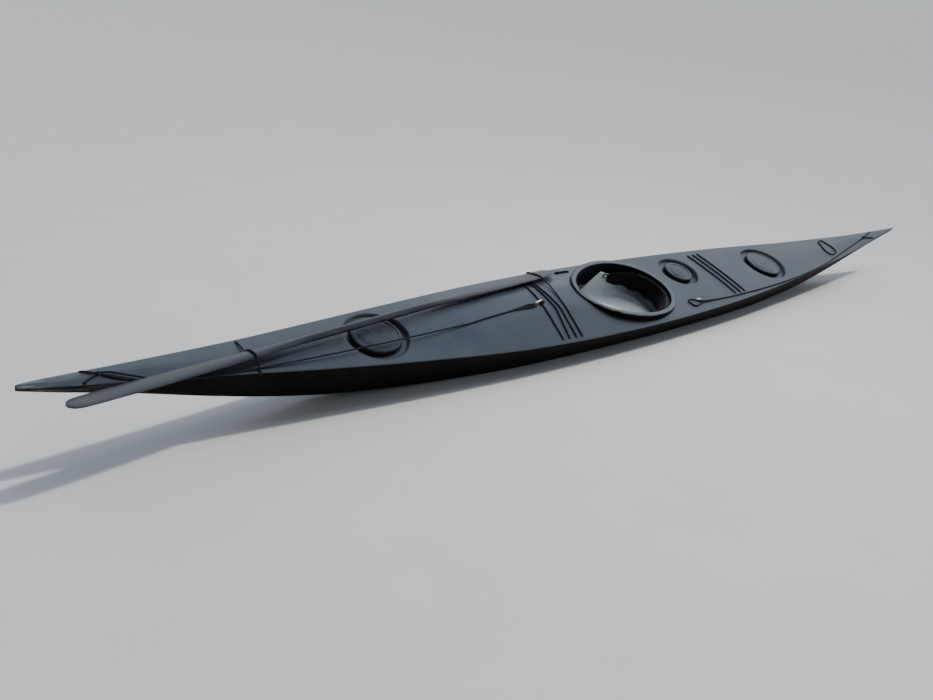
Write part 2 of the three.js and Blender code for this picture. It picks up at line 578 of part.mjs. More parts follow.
// Side line and forked end at the stern
const sternKnot = [-2327, 8];
add('stern_fork_line', forked(sternKnot, [-2474, -27], [-2424, 33]), cordBlack);
add('aft_side_line', cord([onDeck(-425, 165), onDeck(-500, 169, LIE + 0.5), onDeck(-580, 172, LIE + 0.3),
  onDeck(-748, 176), onDeck(-1222, 165), onDeck(-1715, 121), onDeck(-2043, 62), onDeck(-2316, 11)],
{ steps: 16 }), cordBlack);

// Slack loop across the after deck
add('stern_loop_line', cord([onDeck(-1908, -66), onDeck(-1950, -68), onDeck(-1954, -28), onDeck(-1956, 19),
  onDeck(-1950, 48), onDeck(-1914, 68), onDeck(-1872, 62), onDeck(-1862, 22), onDeck(-1886, -30)],
{ loop: true, steps: 28 }), cordBlack);

// Pale fittings on the side lines, and the ring at the after one. The fore one lies on a cross line.
// Columns: name, x, y, lift off the deck, length, width, height, turn in degrees
const FITTINGS = [
  ['fore', 634, 22, LIE + CORD_R + GAP + 1.1, 42, 11, 8, 13],
  ['aft', -412, 165, GAP + 0.2, 16, 11, 8, 0],
];
for (const [name, x, y, lift, length, wide, tall, turn] of FITTINGS) {
  const bead = new THREE.CapsuleGeometry(wide / 2, length - wide, 4, 10).rotateZ(-Math.PI / 2)
    .scale(1, 1, tall / wide).rotateZ(THREE.MathUtils.degToRad(turn));
  add(`${name}_line_fitting`, bead.translate(...onDeck(x, y, tall / 2 + lift)), paleFitting);
}
const RING = { x: -388, y: 164, radius: 11, thick: 2.6, lift: 0.7 };
const ringTorus = new THREE.TorusGeometry(RING.radius, RING.thick, 8, 24)
  .translate(...onDeck(RING.x, RING.y, RING.thick + RING.lift));
add('aft_line_ring', ringTorus, rubberBlack);

// Laid over on the port bottom panel, with the middle of the footprint over the origin
part.rotation.x = -THREE.MathUtils.degToRad(DEADRISE);
part.updateMatrixWorld(true);
const footprint = new THREE.Box3().setFromObject(part, true);
const centre = footprint.getCenter(new THREE.Vector3());
part.position.set(-centre.x, -centre.y, -footprint.min.z);

export default part;
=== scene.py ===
import bmesh
import bpy
import numpy as np
from mathutils import Matrix, Vector


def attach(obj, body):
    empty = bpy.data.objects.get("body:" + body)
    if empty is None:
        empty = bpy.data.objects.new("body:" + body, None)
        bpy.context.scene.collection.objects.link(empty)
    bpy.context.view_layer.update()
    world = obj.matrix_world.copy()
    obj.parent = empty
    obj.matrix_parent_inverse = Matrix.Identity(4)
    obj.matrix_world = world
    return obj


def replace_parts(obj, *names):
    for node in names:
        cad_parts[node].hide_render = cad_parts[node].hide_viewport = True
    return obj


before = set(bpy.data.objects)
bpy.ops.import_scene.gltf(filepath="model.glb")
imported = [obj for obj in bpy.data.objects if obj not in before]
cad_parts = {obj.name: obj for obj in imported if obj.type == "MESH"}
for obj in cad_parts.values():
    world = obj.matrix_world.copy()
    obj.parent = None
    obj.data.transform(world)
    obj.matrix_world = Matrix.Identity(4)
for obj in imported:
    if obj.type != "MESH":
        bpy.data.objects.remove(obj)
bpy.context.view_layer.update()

# Camera: off the port bow, 1.5 m up, looking down along the boat towards its stern. Its place, directions and
# focal length, a share of the picture's width, are those that lay the boat's outline over the real one.
SENSOR = 36
FOCAL_SHARE = 775.4377 / 933
camera_place = (2.96437, 2.40715, 1.501208)
to_right = Vector((-0.796627, 0.596582, 0.09734))
to_top = Vector((-0.179817, -0.387629, 0.904107))
ahead = Vector((-0.577106, -0.702733, -0.416072))


def in_scene(name, data):
    """A new object that holds the data, linked to the scene."""
    thing = bpy.data.objects.new(name, data)
    bpy.context.scene.collection.objects.link(thing)
    return thing


camera = in_scene("camera", bpy.data.cameras.new("camera"))
camera.data.sensor_fit = "HORIZONTAL"
camera.data.sensor_width = SENSOR
camera.data.lens = FOCAL_SHARE * SENSOR
directions = Matrix((to_right, to_top, -ahead)).transposed()
camera.matrix_world = Matrix.Translation(camera_place) @ directions.to_4x4()
bpy.context.scene.camera = camera

# Studio: a soft sun high over the stern, a broad lamp overhead, neither of which the gelcoat mirrors, and a
# pale sky that is brightest low behind the boat, so that its decks shine and its near side stays dark. The
# floor is pale and turns up far off, so that no horizon shows.
SUN_TRAVEL = (0.63, -0.09, -0.77)
BRIGHT_SIDE = (-0.75, -0.65, 0)
# Columns: how far a direction points to the bright side, share of the full light
SKY_SIDES = [(0.0, 0.26), (0.45, 1)]
# Columns: how high a direction points, colour
SKY_HEIGHTS = [(0.10, (0.62, 0.68, 0.71)), (0.45, (0.70, 0.76, 0.78)), (0.72, (0.44, 0.55, 0.74)),
               (1.0, (0.22, 0.30, 0.44))]


class Wire:
    """A socket's value in a shader: + - and * of two wires, or of a wire and a number, add Math nodes."""

    def __init__(self, nodes, socket):
        self.nodes = nodes
        self.socket = socket

    def joined(self, operation, first, second):
        return self.nodes.node("ShaderNodeMath", {"operation": operation}, {0: first, 1: second})

    def __add__(self, other):
        return self.joined("ADD", self, other)

    def __sub__(self, other):
        return self.joined("SUBTRACT", self, other)

    def __rsub__(self, other):
        return self.joined("SUBTRACT", other, self)

    def __mul__(self, other):
        return self.joined("MULTIPLY", self, other)

    __radd__ = __add__
    __rmul__ = __mul__


class Nodes:
    """A tree of shader nodes. node() adds any node and returns the wire of one of its outputs."""

    def __init__(self, tree):
        self.tree = tree

    def node(self, kind, settings, sockets, out=0):
        made = self.tree.nodes.new(kind)
        for key, value in settings.items():
            if key == "stops":
                self.set_stops(made.color_ramp, value)
            else:
                setattr(made, key, value)
        for key, value in sockets.items():
            self.feed(made.inputs[key], value)
        return Wire(self, made.outputs[out])

    @staticmethod
    def set_stops(ramp, stops):
        while len(ramp.elements) < len(stops):
            ramp.elements.new(0.5)
        for element, (at, shade) in zip(ramp.elements, stops):
            element.position = at
            element.color = (*np.broadcast_to(shade, 3), 1)

    def feed(self, socket, value):
        if isinstance(value, Wire):
            self.tree.links.new(value.socket, socket)
        else:
            socket.default_value = value

    def ramp(self, wire, *stops):
        return self.node("ShaderNodeValToRGB", {"stops": stops}, {0: wire})

    def part(self, wire, axis):
        return self.node("ShaderNodeSeparateXYZ", {}, {0: wire}, axis)

    def vectors(self, operation, first, second, out=0):
        return self.node("ShaderNodeVectorMath", {"operation": operation}, {0: first, 1: second}, out)


class Finish(Nodes):
    """A material of one Principled shader, with the noises, blends, marks and bumps that make a finish."""

    def __init__(self, name, **constants):
        self.material = bpy.data.materials.new(name)
        self.material.use_nodes = True
        super().__init__(self.material.node_tree)
        self.shader = self.tree.nodes["Principled BSDF"]
        self.paint(**constants)

    def paint(self, **values):
        for socket, value in values.items():
            self.feed(self.shader.inputs[socket.replace("_", " ")], value)

    def place(self):
        return self.node("ShaderNodeTexCoord", {}, {}, "Object")

    def noise(self, scale, detail=3, rough=0.5, stretch=None):
        spot = self.vectors("MULTIPLY", self.place(), stretch) if stretch else self.place()
        return self.node("ShaderNodeTexNoise", {}, {
            "Vector": spot, "Scale": scale, "Detail": detail, "Roughness": rough})

    def patches(self, low, high, *noise):
        """0 where a noise is under low, 1 where it is over high."""
        return self.ramp(self.noise(*noise), (low, 0.0), (high, 1.0))

    def blend(self, amount, first, second):
        first, second = (shade if isinstance(shade, Wire) else (*shade, 1) for shade in (first, second))
        return self.node("ShaderNodeMix", {"data_type": "RGBA"}, {0: amount, 6: first, 7: second}, 2)

    def sine(self, wire):
        return self.node("ShaderNodeMath", {"operation": "SINE"}, {0: wire})

    def bump(self, height, depth, strength):
        return self.node("ShaderNodeBump", {}, {"Height": height, "Distance": depth, "Strength": strength})

    def mark(self, name):
        return self.node("ShaderNodeAttribute", {"attribute_name": name}, {}, "Fac")

    def dust(self, amount, cover, clean, dusty, rough, more_rough):
        """Colour from clean to dusty, at most by the cover, and a roughness that grows with the dust."""
        self.paint(Base_Color=self.blend(amount * cover, clean, dusty), Roughness=rough + amount * more_rough)


world = bpy.data.worlds.new("studio")
world.use_nodes = True
bpy.context.scene.world = world
sky = Nodes(world.node_tree)
sky_way = sky.node("ShaderNodeTexCoord", {}, {}, "Generated")
sky_sides = sky.ramp(sky.vectors("DOT_PRODUCT", sky_way, BRIGHT_SIDE, "Value"), *SKY_SIDES)
sky_heights = sky.ramp(sky.part(sky_way, 2), *SKY_HEIGHTS)
background = sky.tree.nodes["Background"]
sky.feed(background.inputs["Color"], sky.vectors("MULTIPLY", sky_sides, sky_heights))
sky.feed(background.inputs["Strength"], 2.1)

sun = in_scene("sun", bpy.data.lights.new("sun", "SUN"))
sun.data.energy = 3.0
sun.data.angle = np.radians(4)
sun.data.color = (1.0, 0.97, 0.92)
sun.rotation_euler = Vector(SUN_TRAVEL).to_track_quat("-Z", "Y").to_euler()
sun.visible_glossy = False
overhead = in_scene("overhead", bpy.data.lights.new("overhead", "AREA"))
overhead.data.shape = "DISK"
overhead.data.size = 2.5
overhead.data.energy = 85
overhead.location = (-0.4, 0.3, 4)
overhead.visible_glossy = False


def grid_faces(rows, cols, wrap_rows=False, wrap_cols=False):
    """Quads (i, j), (i+1, j), (i+1, j+1), (i, j+1) of a grid, and their corners' rows and columns."""
    i, j = np.meshgrid(np.arange(rows - (not wrap_rows)), np.arange(cols - (not wrap_cols)), indexing="ij")
    corner_rows = np.stack([i, i + 1, i + 1, i], -1).reshape(-1, 4)
    corner_cols = np.stack([j, j, j + 1, j + 1], -1).reshape(-1, 4)
    return corner_rows % rows * cols + corner_cols % cols, corner_rows, corner_cols


# The floor's section: flat for 12 m, then a bend of 60 m radius to a slope of 10 degrees, out to 120 m
FLOOR_FLAT, FLOOR_BEND, FLOOR_SLOPE = 12, 60, 10
floor_finish = Finish("pale floor", Roughness=0.9)
floor_finish.paint(Base_Color=floor_finish.ramp(
    floor_finish.noise(3.0), (0.3, (0.50, 0.49, 0.475)), (0.7, (0.52, 0.51, 0.495))))
floor_turn = np.radians(np.linspace(0, FLOOR_SLOPE, 23))
floor_out = np.concatenate([[0, 2, 5, 9], FLOOR_FLAT + FLOOR_BEND * np.sin(floor_turn), [120]])
floor_up = np.concatenate([[0, 0, 0, 0], FLOOR_BEND - FLOOR_BEND * np.cos(floor_turn), [18]])
floor_round = np.linspace(0, 2 * np.pi, 97)[:, None]
floor_points = np.stack([floor_out * np.cos(floor_round), floor_out * np.sin(floor_round),
                         floor_up + 0 * floor_round], -1)
floor_mesh = bpy.data.meshes.new("floor")
floor_quads = grid_faces(*floor_points.shape[:2])[0]
floor_mesh.from_pydata(floor_points.reshape(-1, 3), [], floor_quads[:, [0, 3, 2, 1]])
floor_mesh.shade_smooth()
floor_mesh.materials.append(floor_finish.material)
floor = in_scene("floor", floor_mesh)

# Hull: the lower half of the boat, glass fibre with a matte black gelcoat outside. It is moulded in one
# piece, with a hard chine each side, and is bonded to the deck just under the sheer. Inside it is bare black
# laminate, with a grey flowcoat round the seat.
LEAN = np.radians(18)
LAID_Y, LAID_Z = -0.065488, 0.001854
HALF_LENGTH = 2725
# The boat's tables are millimetres, upright: x to the bow from amidships, y to port and z up from the keel.
# Columns: x, half-breadth at the sheer, sheer height, keel height, chine half-breadth, deadrise in degrees.
HULL_ROWS = [
    (-2725, 4, 316, 298, 3, 50), (-2450, 38, 286, 214, 20, 50), (-2200, 72, 260, 128, 42, 50),
    (-1900, 112, 240, 52, 74, 42), (-1600, 145, 227, 13, 103, 31), (-1000, 209, 214, 0, 156, 18),
    (-400, 246, 209, 0, 188, 18), (200, 256, 213, 0, 196, 18), (800, 234, 222, 0, 178, 18),
    (1400, 172, 243, 4, 124, 25), (1700, 134, 257, 22, 92, 33), (2000, 93, 275, 78, 60, 42),
    (2450, 42, 309, 229, 24, 48), (2660, 19, 327, 293, 10, 50), (2725, 8, 333, 313, 4, 50)]
KEEL_HALF = 6
LEAST_DEADRISE = 18
CHINE_EASE = 0.04
BULGE = 0.02
SKIN = 4
HULL_SEAM = 3
TIP = 14
# Points of half a section on the keel, the keel's edge, the bottom panel, the eased chine and the topside
KEEL_POINTS, EDGE_POINTS, BOTTOM_POINTS, CHINE_POINTS, SIDE_POINTS = 1, 4, 8, 5, 12
# The slot that lets the skeg out of the keel: its ends, half-width and half-height
SKEG_SLOT = {"ends": (-1850, -1568), "half": 7.5, "tall": 30}
# Where the inside is grey: from and to, and how many points up each side from the keel
GREY_FROM, GREY_TO, GREY_POINTS = -380, 130, 20


def laid(points):
    """Boat places in mm to metres where the boat lies on its port bottom panel: turned 18 degrees about x, so
    y' = y cos + z sin and z' = z cos - y sin, then moved so that it rests on the floor over the origin."""
    x, y, z = np.moveaxis(np.asarray(points, float) / 1000, -1, 0)
    return np.stack([x, y * np.cos(LEAN) + z * np.sin(LEAN) + LAID_Y,
                     z * np.cos(LEAN) - y * np.sin(LEAN) + LAID_Z], -1)


def along(rows, t):
    """Cubic curve through the rows at t, their first column. Its slope in a row is the mean of its chords'."""
    rows = np.array(rows, float)
    at, value = rows[:, 0], rows[:, 1:]
    chord = np.diff(value, axis=0) / np.diff(at)[:, None]
    slope = np.concatenate([chord[:1], (chord[1:] + chord[:-1]) / 2, chord[-1:]])
    i = np.clip(np.searchsorted(at, t, side="right") - 1, 0, len(at) - 2)
    span = (at[i + 1] - at[i])[..., None]
    p = (np.asarray(t, float) - at[i])[..., None] / span
    return ((1 + 2 * p) * (1 - p) ** 2 * value[i] + p * (1 - p) ** 2 * span * slope[i]
            + p * p * (3 - 2 * p) * value[i + 1] + p * p * (p - 1) * span * slope[i + 1])


def boat_at(x):
    """Breadth, sheer, keel, keel's half-width, chine and chine height at x. The bottom panel rises to the
    chine by the tangent of the deadrise."""
    breadth, sheer, keel, chine, deadrise = np.moveaxis(along(HULL_ROWS, x), -1, 0)
    keel = np.maximum(keel, 0)
    keel_half = np.minimum(KEEL_HALF, 0.4 * chine)
    chine_up = keel + (chine - keel_half) * np.tan(np.radians(np.maximum(deadrise, LEAST_DEADRISE)))
    return breadth, sheer, keel, keel_half, chine, chine_up


def pair(y, z):
    return np.stack(np.broadcast_arrays(y, z), -1).astype(float)


def straight(a, b, count):
    """Points a (1 - t) + b t for t from 0, short of 1."""
    t = np.linspace(0, 1, count, endpoint=False)[:, None]
    return a[:, None] * (1 - t) + b[:, None] * t


def rounded(a, corner, b, count, to_end=False):
    """Points (1 - t)^2 a + 2 t (1 - t) corner + t^2 b for t from 0 to 1, or short of it."""
    t = np.linspace(0, 1, count, endpoint=to_end)[:, None]
    return a[:, None] * (1 - t) ** 2 + corner[:, None] * 2 * t * (1 - t) + b[:, None] * t ** 2


def side_panel(x, share):
    """The topside from the chine (0) to the sheer (1), bulged by 4 u (1 - u) times 2 % of the breadth."""
    breadth, sheer, _, _, chine, chine_up = boat_at(x)
    u = (share - CHINE_EASE) / (1 - CHINE_EASE)
    return pair(chine + (breadth - chine) * share + 4 * BULGE * breadth * u * (1 - u),
                chine_up + (sheer - chine_up) * share)


def hull_half(x):
    """Port half of a hull section: keel flat, bottom panel, eased chine and topside, up to the seam."""
    _, sheer, keel, keel_half, chine, chine_up = boat_at(x)
    bottom = lambda share: pair(keel_half + (chine - keel_half) * share, keel + (chine_up - keel) * share)
    flat_end, panel_start, panel_end = pair(0.5 * keel_half, keel), bottom(0.06), bottom(1 - CHINE_EASE)
    seam = 1 - HULL_SEAM / (sheer - chine_up)
    rows = [straight(pair(0 * x, keel), flat_end, KEEL_POINTS),
            rounded(flat_end, pair(keel_half, keel), panel_start, EDGE_POINTS),
            straight(panel_start, panel_end, BOTTOM_POINTS),
            rounded(panel_end, pair(chine, chine_up), side_panel(x, CHINE_EASE), CHINE_POINTS)]
    rows += [side_panel(x, CHINE_EASE + (seam - CHINE_EASE) * t)[:, None]
             for t in np.linspace(0, 1, SIDE_POINTS)]
    return np.concatenate(rows, 1)


def mirrored(half):
    """Starboard half reversed, then the port half, which starts on the middle line."""
    return np.concatenate([half[:, :0:-1] * (-1, 1), half], 1)


def unit(vectors):
    return vectors / np.linalg.norm(vectors, axis=-1, keepdims=True)


def square_to(section):
    """Unit vectors square to a section at each point, from the line through the point's neighbours."""
    step = np.gradient(section, axis=1)
    return unit(np.stack([-step[..., 1], step[..., 0]], -1))


def moved_in(section, depth):
    """Section points moved square to the section by depth, to the side on which its middle lies."""
    square = square_to(section)
    middle = section.shape[1] // 2
    inward = np.sign(((section.mean(1) - section[:, middle]) * square[:, middle]).sum(-1))
    return section + square * (inward * depth)[:, None, None]


def tip_share(x):
    """Ends rounded in plan: breadth times sqrt(1 - ((|x| - L + r) / r)^2) in the last r of the length."""
    over = np.clip((np.abs(x) - HALF_LENGTH + TIP) / TIP, 0, 1)
    return np.sqrt(1 - over ** 2)[:, None]


def ring_of_skin(outer, inner, x, inner_x):
    """Closed section rings in boat places: the outer skin one way round, then the inner skin back."""
    sides = [np.concatenate([np.broadcast_to(at[:, None, None], side.shape[:2] + (1,)), side], 2)
             for side, at in ((outer, x), (inner, inner_x))]
    return np.concatenate([sides[0], sides[1][:, ::-1]], 1)


def capped(rings):
    """Rings with one more at each end that is a point, in the middle of the end ring."""
    middle = lambda ring: np.broadcast_to(ring.mean(0), (1,) + ring.shape)
    return np.concatenate([middle(rings[0]), rings, middle(rings[-1])])


def extruded(plan, start, end):
    """A plan's ring at the start and at the end of the third direction, capped."""
    reach = np.array([start, end], float)[:, None, None] + 0 * plan[:, :1]
    return capped(np.concatenate([np.broadcast_to(plan, (2,) + plan.shape), reach], -1))


def skin(points, wrap_rows=False, wrap_cols=True, **more):
    """A grid for make_piece from boat places: closed round its columns, its rows or both."""
    return {"points": laid(points), "wrap_rows": wrap_rows, "wrap_cols": wrap_cols, **more}


def make_piece(name, grids, finishes, body="boat", sharp=38):
    """One mesh from grids of places in metres. A grid may also have finish (a number, or one per quad), grain
    (metres per row and per column, for the UV map) and marks (named values per point). Points that meet
    within a micron merge, and a grid's faces turn round if the volume in them is negative."""
    places, quads, numbers, corner_uv, marks = [], [], [], [], {}
    start = 0
    for grid in grids:
        points = grid["points"]
        rows, cols = points.shape[:2]
        faces, corner_rows, corner_cols = grid_faces(rows, cols, grid["wrap_rows"], grid["wrap_cols"])
        a, b, c, d = np.moveaxis(points.reshape(-1, 3)[faces], 1, 0)
        volume = (a * (np.cross(b, c) + np.cross(c, d))).sum()
        order = slice(None, None, -1 if volume < 0 else 1)
        places.append(points.reshape(-1, 3))
        quads.append(faces[:, order] + start)
        numbers.append(np.broadcast_to(np.asarray(grid.get("finish", 0)).ravel(), len(faces)))
        grain = grid.get("grain", (1, 1))
        uv = np.stack([corner_rows * grain[0], corner_cols * grain[1]], -1)
        corner_uv.append(uv[:, order].reshape(-1, 2))
        for key, values in grid.get("marks", {}).items():
            marks.setdefault(key, []).append((start, np.broadcast_to(values, (rows, cols)).ravel()))
        start += rows * cols
    mesh = bpy.data.meshes.new(name)
    mesh.from_pydata(np.concatenate(places), [], np.concatenate(quads))
    layer = mesh.uv_layers.new(name="weave")
    layer.data.foreach_set("uv", np.concatenate(corner_uv).ravel())
    mesh.polygons.foreach_set("material_index", np.concatenate(numbers).astype(np.int32))
    for key, parts in marks.items():
        values = np.zeros(start, np.float32)
        for first, part in parts:
            values[first:first + len(part)] = part
        mesh.attributes.new(key, "FLOAT", "POINT").data.foreach_set("value", values)
    for finish in finishes:
        mesh.materials.append(finish.material)
    work = bmesh.new()
    work.from_mesh(mesh)
    bmesh.ops.remove_doubles(work, verts=work.verts, dist=1e-6)
    bmesh.ops.dissolve_degenerate(work, edges=work.edges, dist=1e-7)
    work.to_mesh(mesh)
    work.free()
    mesh.shade_smooth()
    mesh.set_sharp_from_angle(angle=np.radians(sharp))
    piece = in_scene(name, mesh)
    if body:
        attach(piece, body)
    return piece


def cut_out(piece, grids, sharp=38):
    """Takes the closed shapes of the grids, which stand apart from each other, out of a piece."""
    cutter = make_piece("cutter", grids, [], None)
    cut = piece.modifiers.new("cut", "BOOLEAN")
    cut.object = cutter
    cut.operation = "DIFFERENCE"
    cut.solver = "EXACT"
    done = bpy.data.meshes.new_from_object(piece.evaluated_get(bpy.context.evaluated_depsgraph_get()))
    piece.modifiers.clear()
    piece.data = done
    done.set_sharp_from_angle(angle=np.radians(sharp))
    bpy.data.objects.remove(cutter)


def shell(name, outer, inner, finish, scuff, finishes):
    """A moulding of an outer and an inner skin over the stations, rounded in plan at both ends, with its
    scuff marks on the outer skin."""
    outer[..., 0] *= tip_share(stations)
    inner[..., 0] *= tip_share(stations)
    marks = {"scuff": np.concatenate([scuff, 0 * scuff], 1)}
    grid = skin(ring_of_skin(outer, inner, stations, inner_stations), finish=finish, marks=marks)
    return make_piece(name, [grid], finishes)


def gelcoat(name, tint, rough, gloss=0.5):
    """Matte moulded surface: a fine pebble from the mould, dust in broad patches, hair scratches along the
    boat and, where the piece has scuff marks, worn pale streaks."""
    finish = Finish(name, Specular_IOR_Level=gloss)
    pebble = finish.noise(620, 2)
    patches = finish.noise(5.5, 5, 0.62)
    hairs = finish.ramp(finish.noise(46, 3, 0.6, (0.35, 6.0, 6.0)), (0.63, 0.0), (0.66, 1.0), (0.69, 0.0))
    streaks = finish.patches(0.44, 0.62, 22, 6, 0.7, (0.25, 2.2, 2.2))
    dust = finish.ramp(patches, (0.35, 0.0), (0.72, 1.0))
    mottle = finish.noise(34, 4, 0.6)
    worn = finish.mark("scuff") * streaks
    dusty = (tint[0] * 2 + 0.007, tint[1] * 1.9 + 0.007, tint[2] * 1.7 + 0.006)
    paint = finish.blend(dust * 0.55, tint, dusty)
    paint = finish.blend(hairs * 0.22, paint, (0.16, 0.17, 0.18))
    paint = finish.blend(worn * 0.75, paint, (0.20, 0.20, 0.19))
    relief = pebble * 0.6 + mottle * 0.9 + patches * 0.8 - hairs * 0.12 - worn * 0.3
    finish.paint(Base_Color=paint, Normal=finish.bump(relief, 0.0006, 0.6),
                 Roughness=rough - 0.04 + dust * 0.14 + mottle * 0.12 + hairs * 0.1 + worn * 0.15)
    return finish


def inside_coat(name, dark, light, rough, gloss):
    """The uneven inner face of a laminate, from a dark to a light tone, with the cloth's grain in it."""
    finish = Finish(name, Specular_IOR_Level=gloss)
    mottle = finish.noise(28, 5, 0.6)
    finish.paint(Base_Color=finish.ramp(mottle, (0.3, dark), (0.7, light)), Roughness=rough + mottle * 0.25,
                 Normal=finish.bump(finish.noise(240, 2) + mottle * 2, 0.0007, 0.6))
    return finish


# The hull's gelcoat is black, and is painted far darker than the deck's as painted shade on its near side.
hull_black_and_shade = gelcoat("matte black gelcoat", (0.0025, 0.0022, 0.002), 0.5, 0.04)
bare_laminate = inside_coat("bare black laminate", (0.010, 0.011, 0.012), (0.022, 0.024, 0.026), 0.45, 0.3)
inner_grey = inside_coat("grey flowcoat", (0.47, 0.52, 0.53), (0.60, 0.645, 0.65), 0.42, 0.5)

tip_turn = HALF_LENGTH - TIP + TIP * np.sin(np.linspace(0, np.pi / 2, 7))
stations = np.concatenate([
    -tip_turn[::-1], np.linspace(-HALF_LENGTH + TIP, HALF_LENGTH - TIP, 240)[1:-1], tip_turn])
inner_stations = stations * (1 - 6 / HALF_LENGTH)
hull_outer = mirrored(hull_half(stations))
hull_inner = moved_in(hull_outer, np.minimum(SKIN, 0.3 * boat_at(stations)[4]))
hull_cols = hull_outer.shape[1]
# Outside 0, inside 1, and inside round the seat, up to the chines and a little over them, 2
ring_number = np.arange(2 * hull_cols)
hull_inside = ring_number >= hull_cols
hull_low = hull_inside & (np.abs(ring_number - 1.5 * hull_cols) < GREY_POINTS)
hull_seat = (stations[:-1] > GREY_FROM) & (stations[1:] < GREY_TO)
hull_finish = hull_inside + hull_seat[:, None] * hull_low * 1
# Scuffs: along the keel and the chines, and at both ends
around = np.linspace(-1, 1, hull_cols)
keel_scuff = np.exp(-(around / 0.05) ** 2)
chine_at = (KEEL_POINTS + EDGE_POINTS + BOTTOM_POINTS + CHINE_POINTS / 2) / (hull_cols / 2)
chine_scuff = 0.6 * np.exp(-((np.abs(around) - chine_at) / 0.035) ** 2)
end_scuff = np.clip((np.abs(stations) - 2350) / 375, 0, 1)[:, None] ** 1.5
scuff = np.clip(keel_scuff + chine_scuff + end_scuff, 0, 1)
hull = shell("hull", hull_outer, hull_inner, hull_finish, scuff, [hull_black_and_shade, bare_laminate, inner_grey])
slot_ring = np.array([(-1, -1), (1, -1), (1, 1), (-1, 1)]) * (SKEG_SLOT["half"], SKEG_SLOT["tall"])
cut_out(hull, [skin(np.roll(extruded(slot_ring, *SKEG_SLOT["ends"]), 1, -1))])
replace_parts(hull, "hull_stern", "hull_rear_hold", "hull_day_hold", "hull_seat", "hull_legs", "hull_front_hold",
            "hull_bow")

# Deck: the upper half of the boat, of the same fibre and gelcoat, with a raised ridge before the cockpit.
# Round recesses are moulded in it for the hatches, and it has a slot for the skeg's slider.
# Columns: x, height of the deck's middle above the sheer, half-width of its raised middle.
DECK_ROWS = [
    (-2725, 2, 2), (-2300, 8, 20), (-1900, 8, 40), (-1220, 6, 90), (-600, 7, 100), (-320, 4.5, 100),
    (-100, 20, 92), (380, 56, 78), (700, 52, 72), (1000, 38, 66), (1330, 16, 58), (1700, 9, 45),
    (2300, 7, 18), (2725, 2, 2)]
CROWN = 0.06
RIDGE_EASE = 5
SHEER_EASE = 6
DECK_SEAM = 2.7
DECK_POINTS = 26
# Columns: name, x, y, recess radius, cover radius
HATCHES = [("front", 1466, 0, 136, 105), ("day", -515, -74, 116, 79), ("rear", -1222, 0, 142, 106)]
RECESS_DEEP = 24
RECESS_EDGE = 6
# The cockpit's outline is an egg, wider towards the seat
COCKPIT = {"x": 19, "half": 311, "wide": 202, "egg": -0.095, "front": 275.5, "back": 222.5, "wall": 5}
SLIDER = {"x": 275, "y": -205, "length": 102, "width": 19, "knob": 303}


def deck_up(x, y):
    """Deck height: the lower of a crowned middle, rise (1 - 0.06 (y/c)^2), and a flat side deck that falls to
    the sheer, eased into each other over 5 mm at the ridge between them."""
    x, y = np.broadcast_arrays(np.asarray(x, float), np.asarray(y, float))
    breadth, sheer = np.moveaxis(along(HULL_ROWS, x), -1, 0)[:2]
    rise, crown = np.moveaxis(along(DECK_ROWS, x), -1, 0)
    off = np.abs(y)
    middle = rise * (1 - CROWN * (off / crown) ** 2)
    side = (1 - CROWN) * rise * (breadth - off) / (breadth - crown)
    ease = np.minimum(RIDGE_EASE, 0.5 * rise)
    share = np.clip(0.5 + 0.5 * (side - middle) / ease, 0, 1)
    return sheer + side + (middle - side) * share - ease * share * (1 - share)


def deck_half(x):
    """Port half of a deck section from the middle over the eased sheer to the seam, 2.7 mm down the side."""
    breadth, sheer, _, _, _, chine_up = boat_at(x)
    edge = breadth - np.minimum(SHEER_EASE, 0.4 * breadth)
    y = edge[:, None] * np.linspace(0, 1, DECK_POINTS, endpoint=False)
    seam = side_panel(x, 1 - DECK_SEAM / (sheer - chine_up))
    bend = rounded(pair(edge, deck_up(x, edge)), pair(breadth, sheer), seam, 6)
    return np.concatenate([pair(y, deck_up(x[:, None], y)), bend, seam[:, None]], 1)


def full_turn(count):
    """Angles of so many even steps round a circle, without the last."""
    return np.linspace(0, 2 * np.pi, count, endpoint=False)


def circled(x, y, radius, count=96):
    """Places x + r cos a and y + r sin a: a row for each of so many angles, a column for each radius."""
    turn = full_turn(count)[:, None]
    return x + radius * np.cos(turn), y + radius * np.sin(turn)


def oval(shape, angle, out):
    """Plan of an egg, x = half cos a and y = wide sin a (1 + egg cos a), moved out square to itself."""
    plan = lambda a: np.stack([shape["half"] * np.cos(a),
                               shape["wide"] * np.sin(a) * (1 + shape["egg"] * np.cos(a))], -1)
    here = plan(angle)
    step = unit(plan(angle + 1e-4) - here)
    return here + (shape["x"], 0) + np.stack([step[..., 1], -step[..., 0]], -1) * np.asarray(out)[..., None]


def stadium(length, width, count=24):
    """Plan of a slot with round ends: two half circles of the slot's width, set length - width apart."""
    turn = np.linspace(-np.pi / 2, np.pi / 2, count)
    half = np.stack([width / 2 * np.cos(turn) + (length - width) / 2, width / 2 * np.sin(turn)], -1)
    return np.concatenate([half, -half])
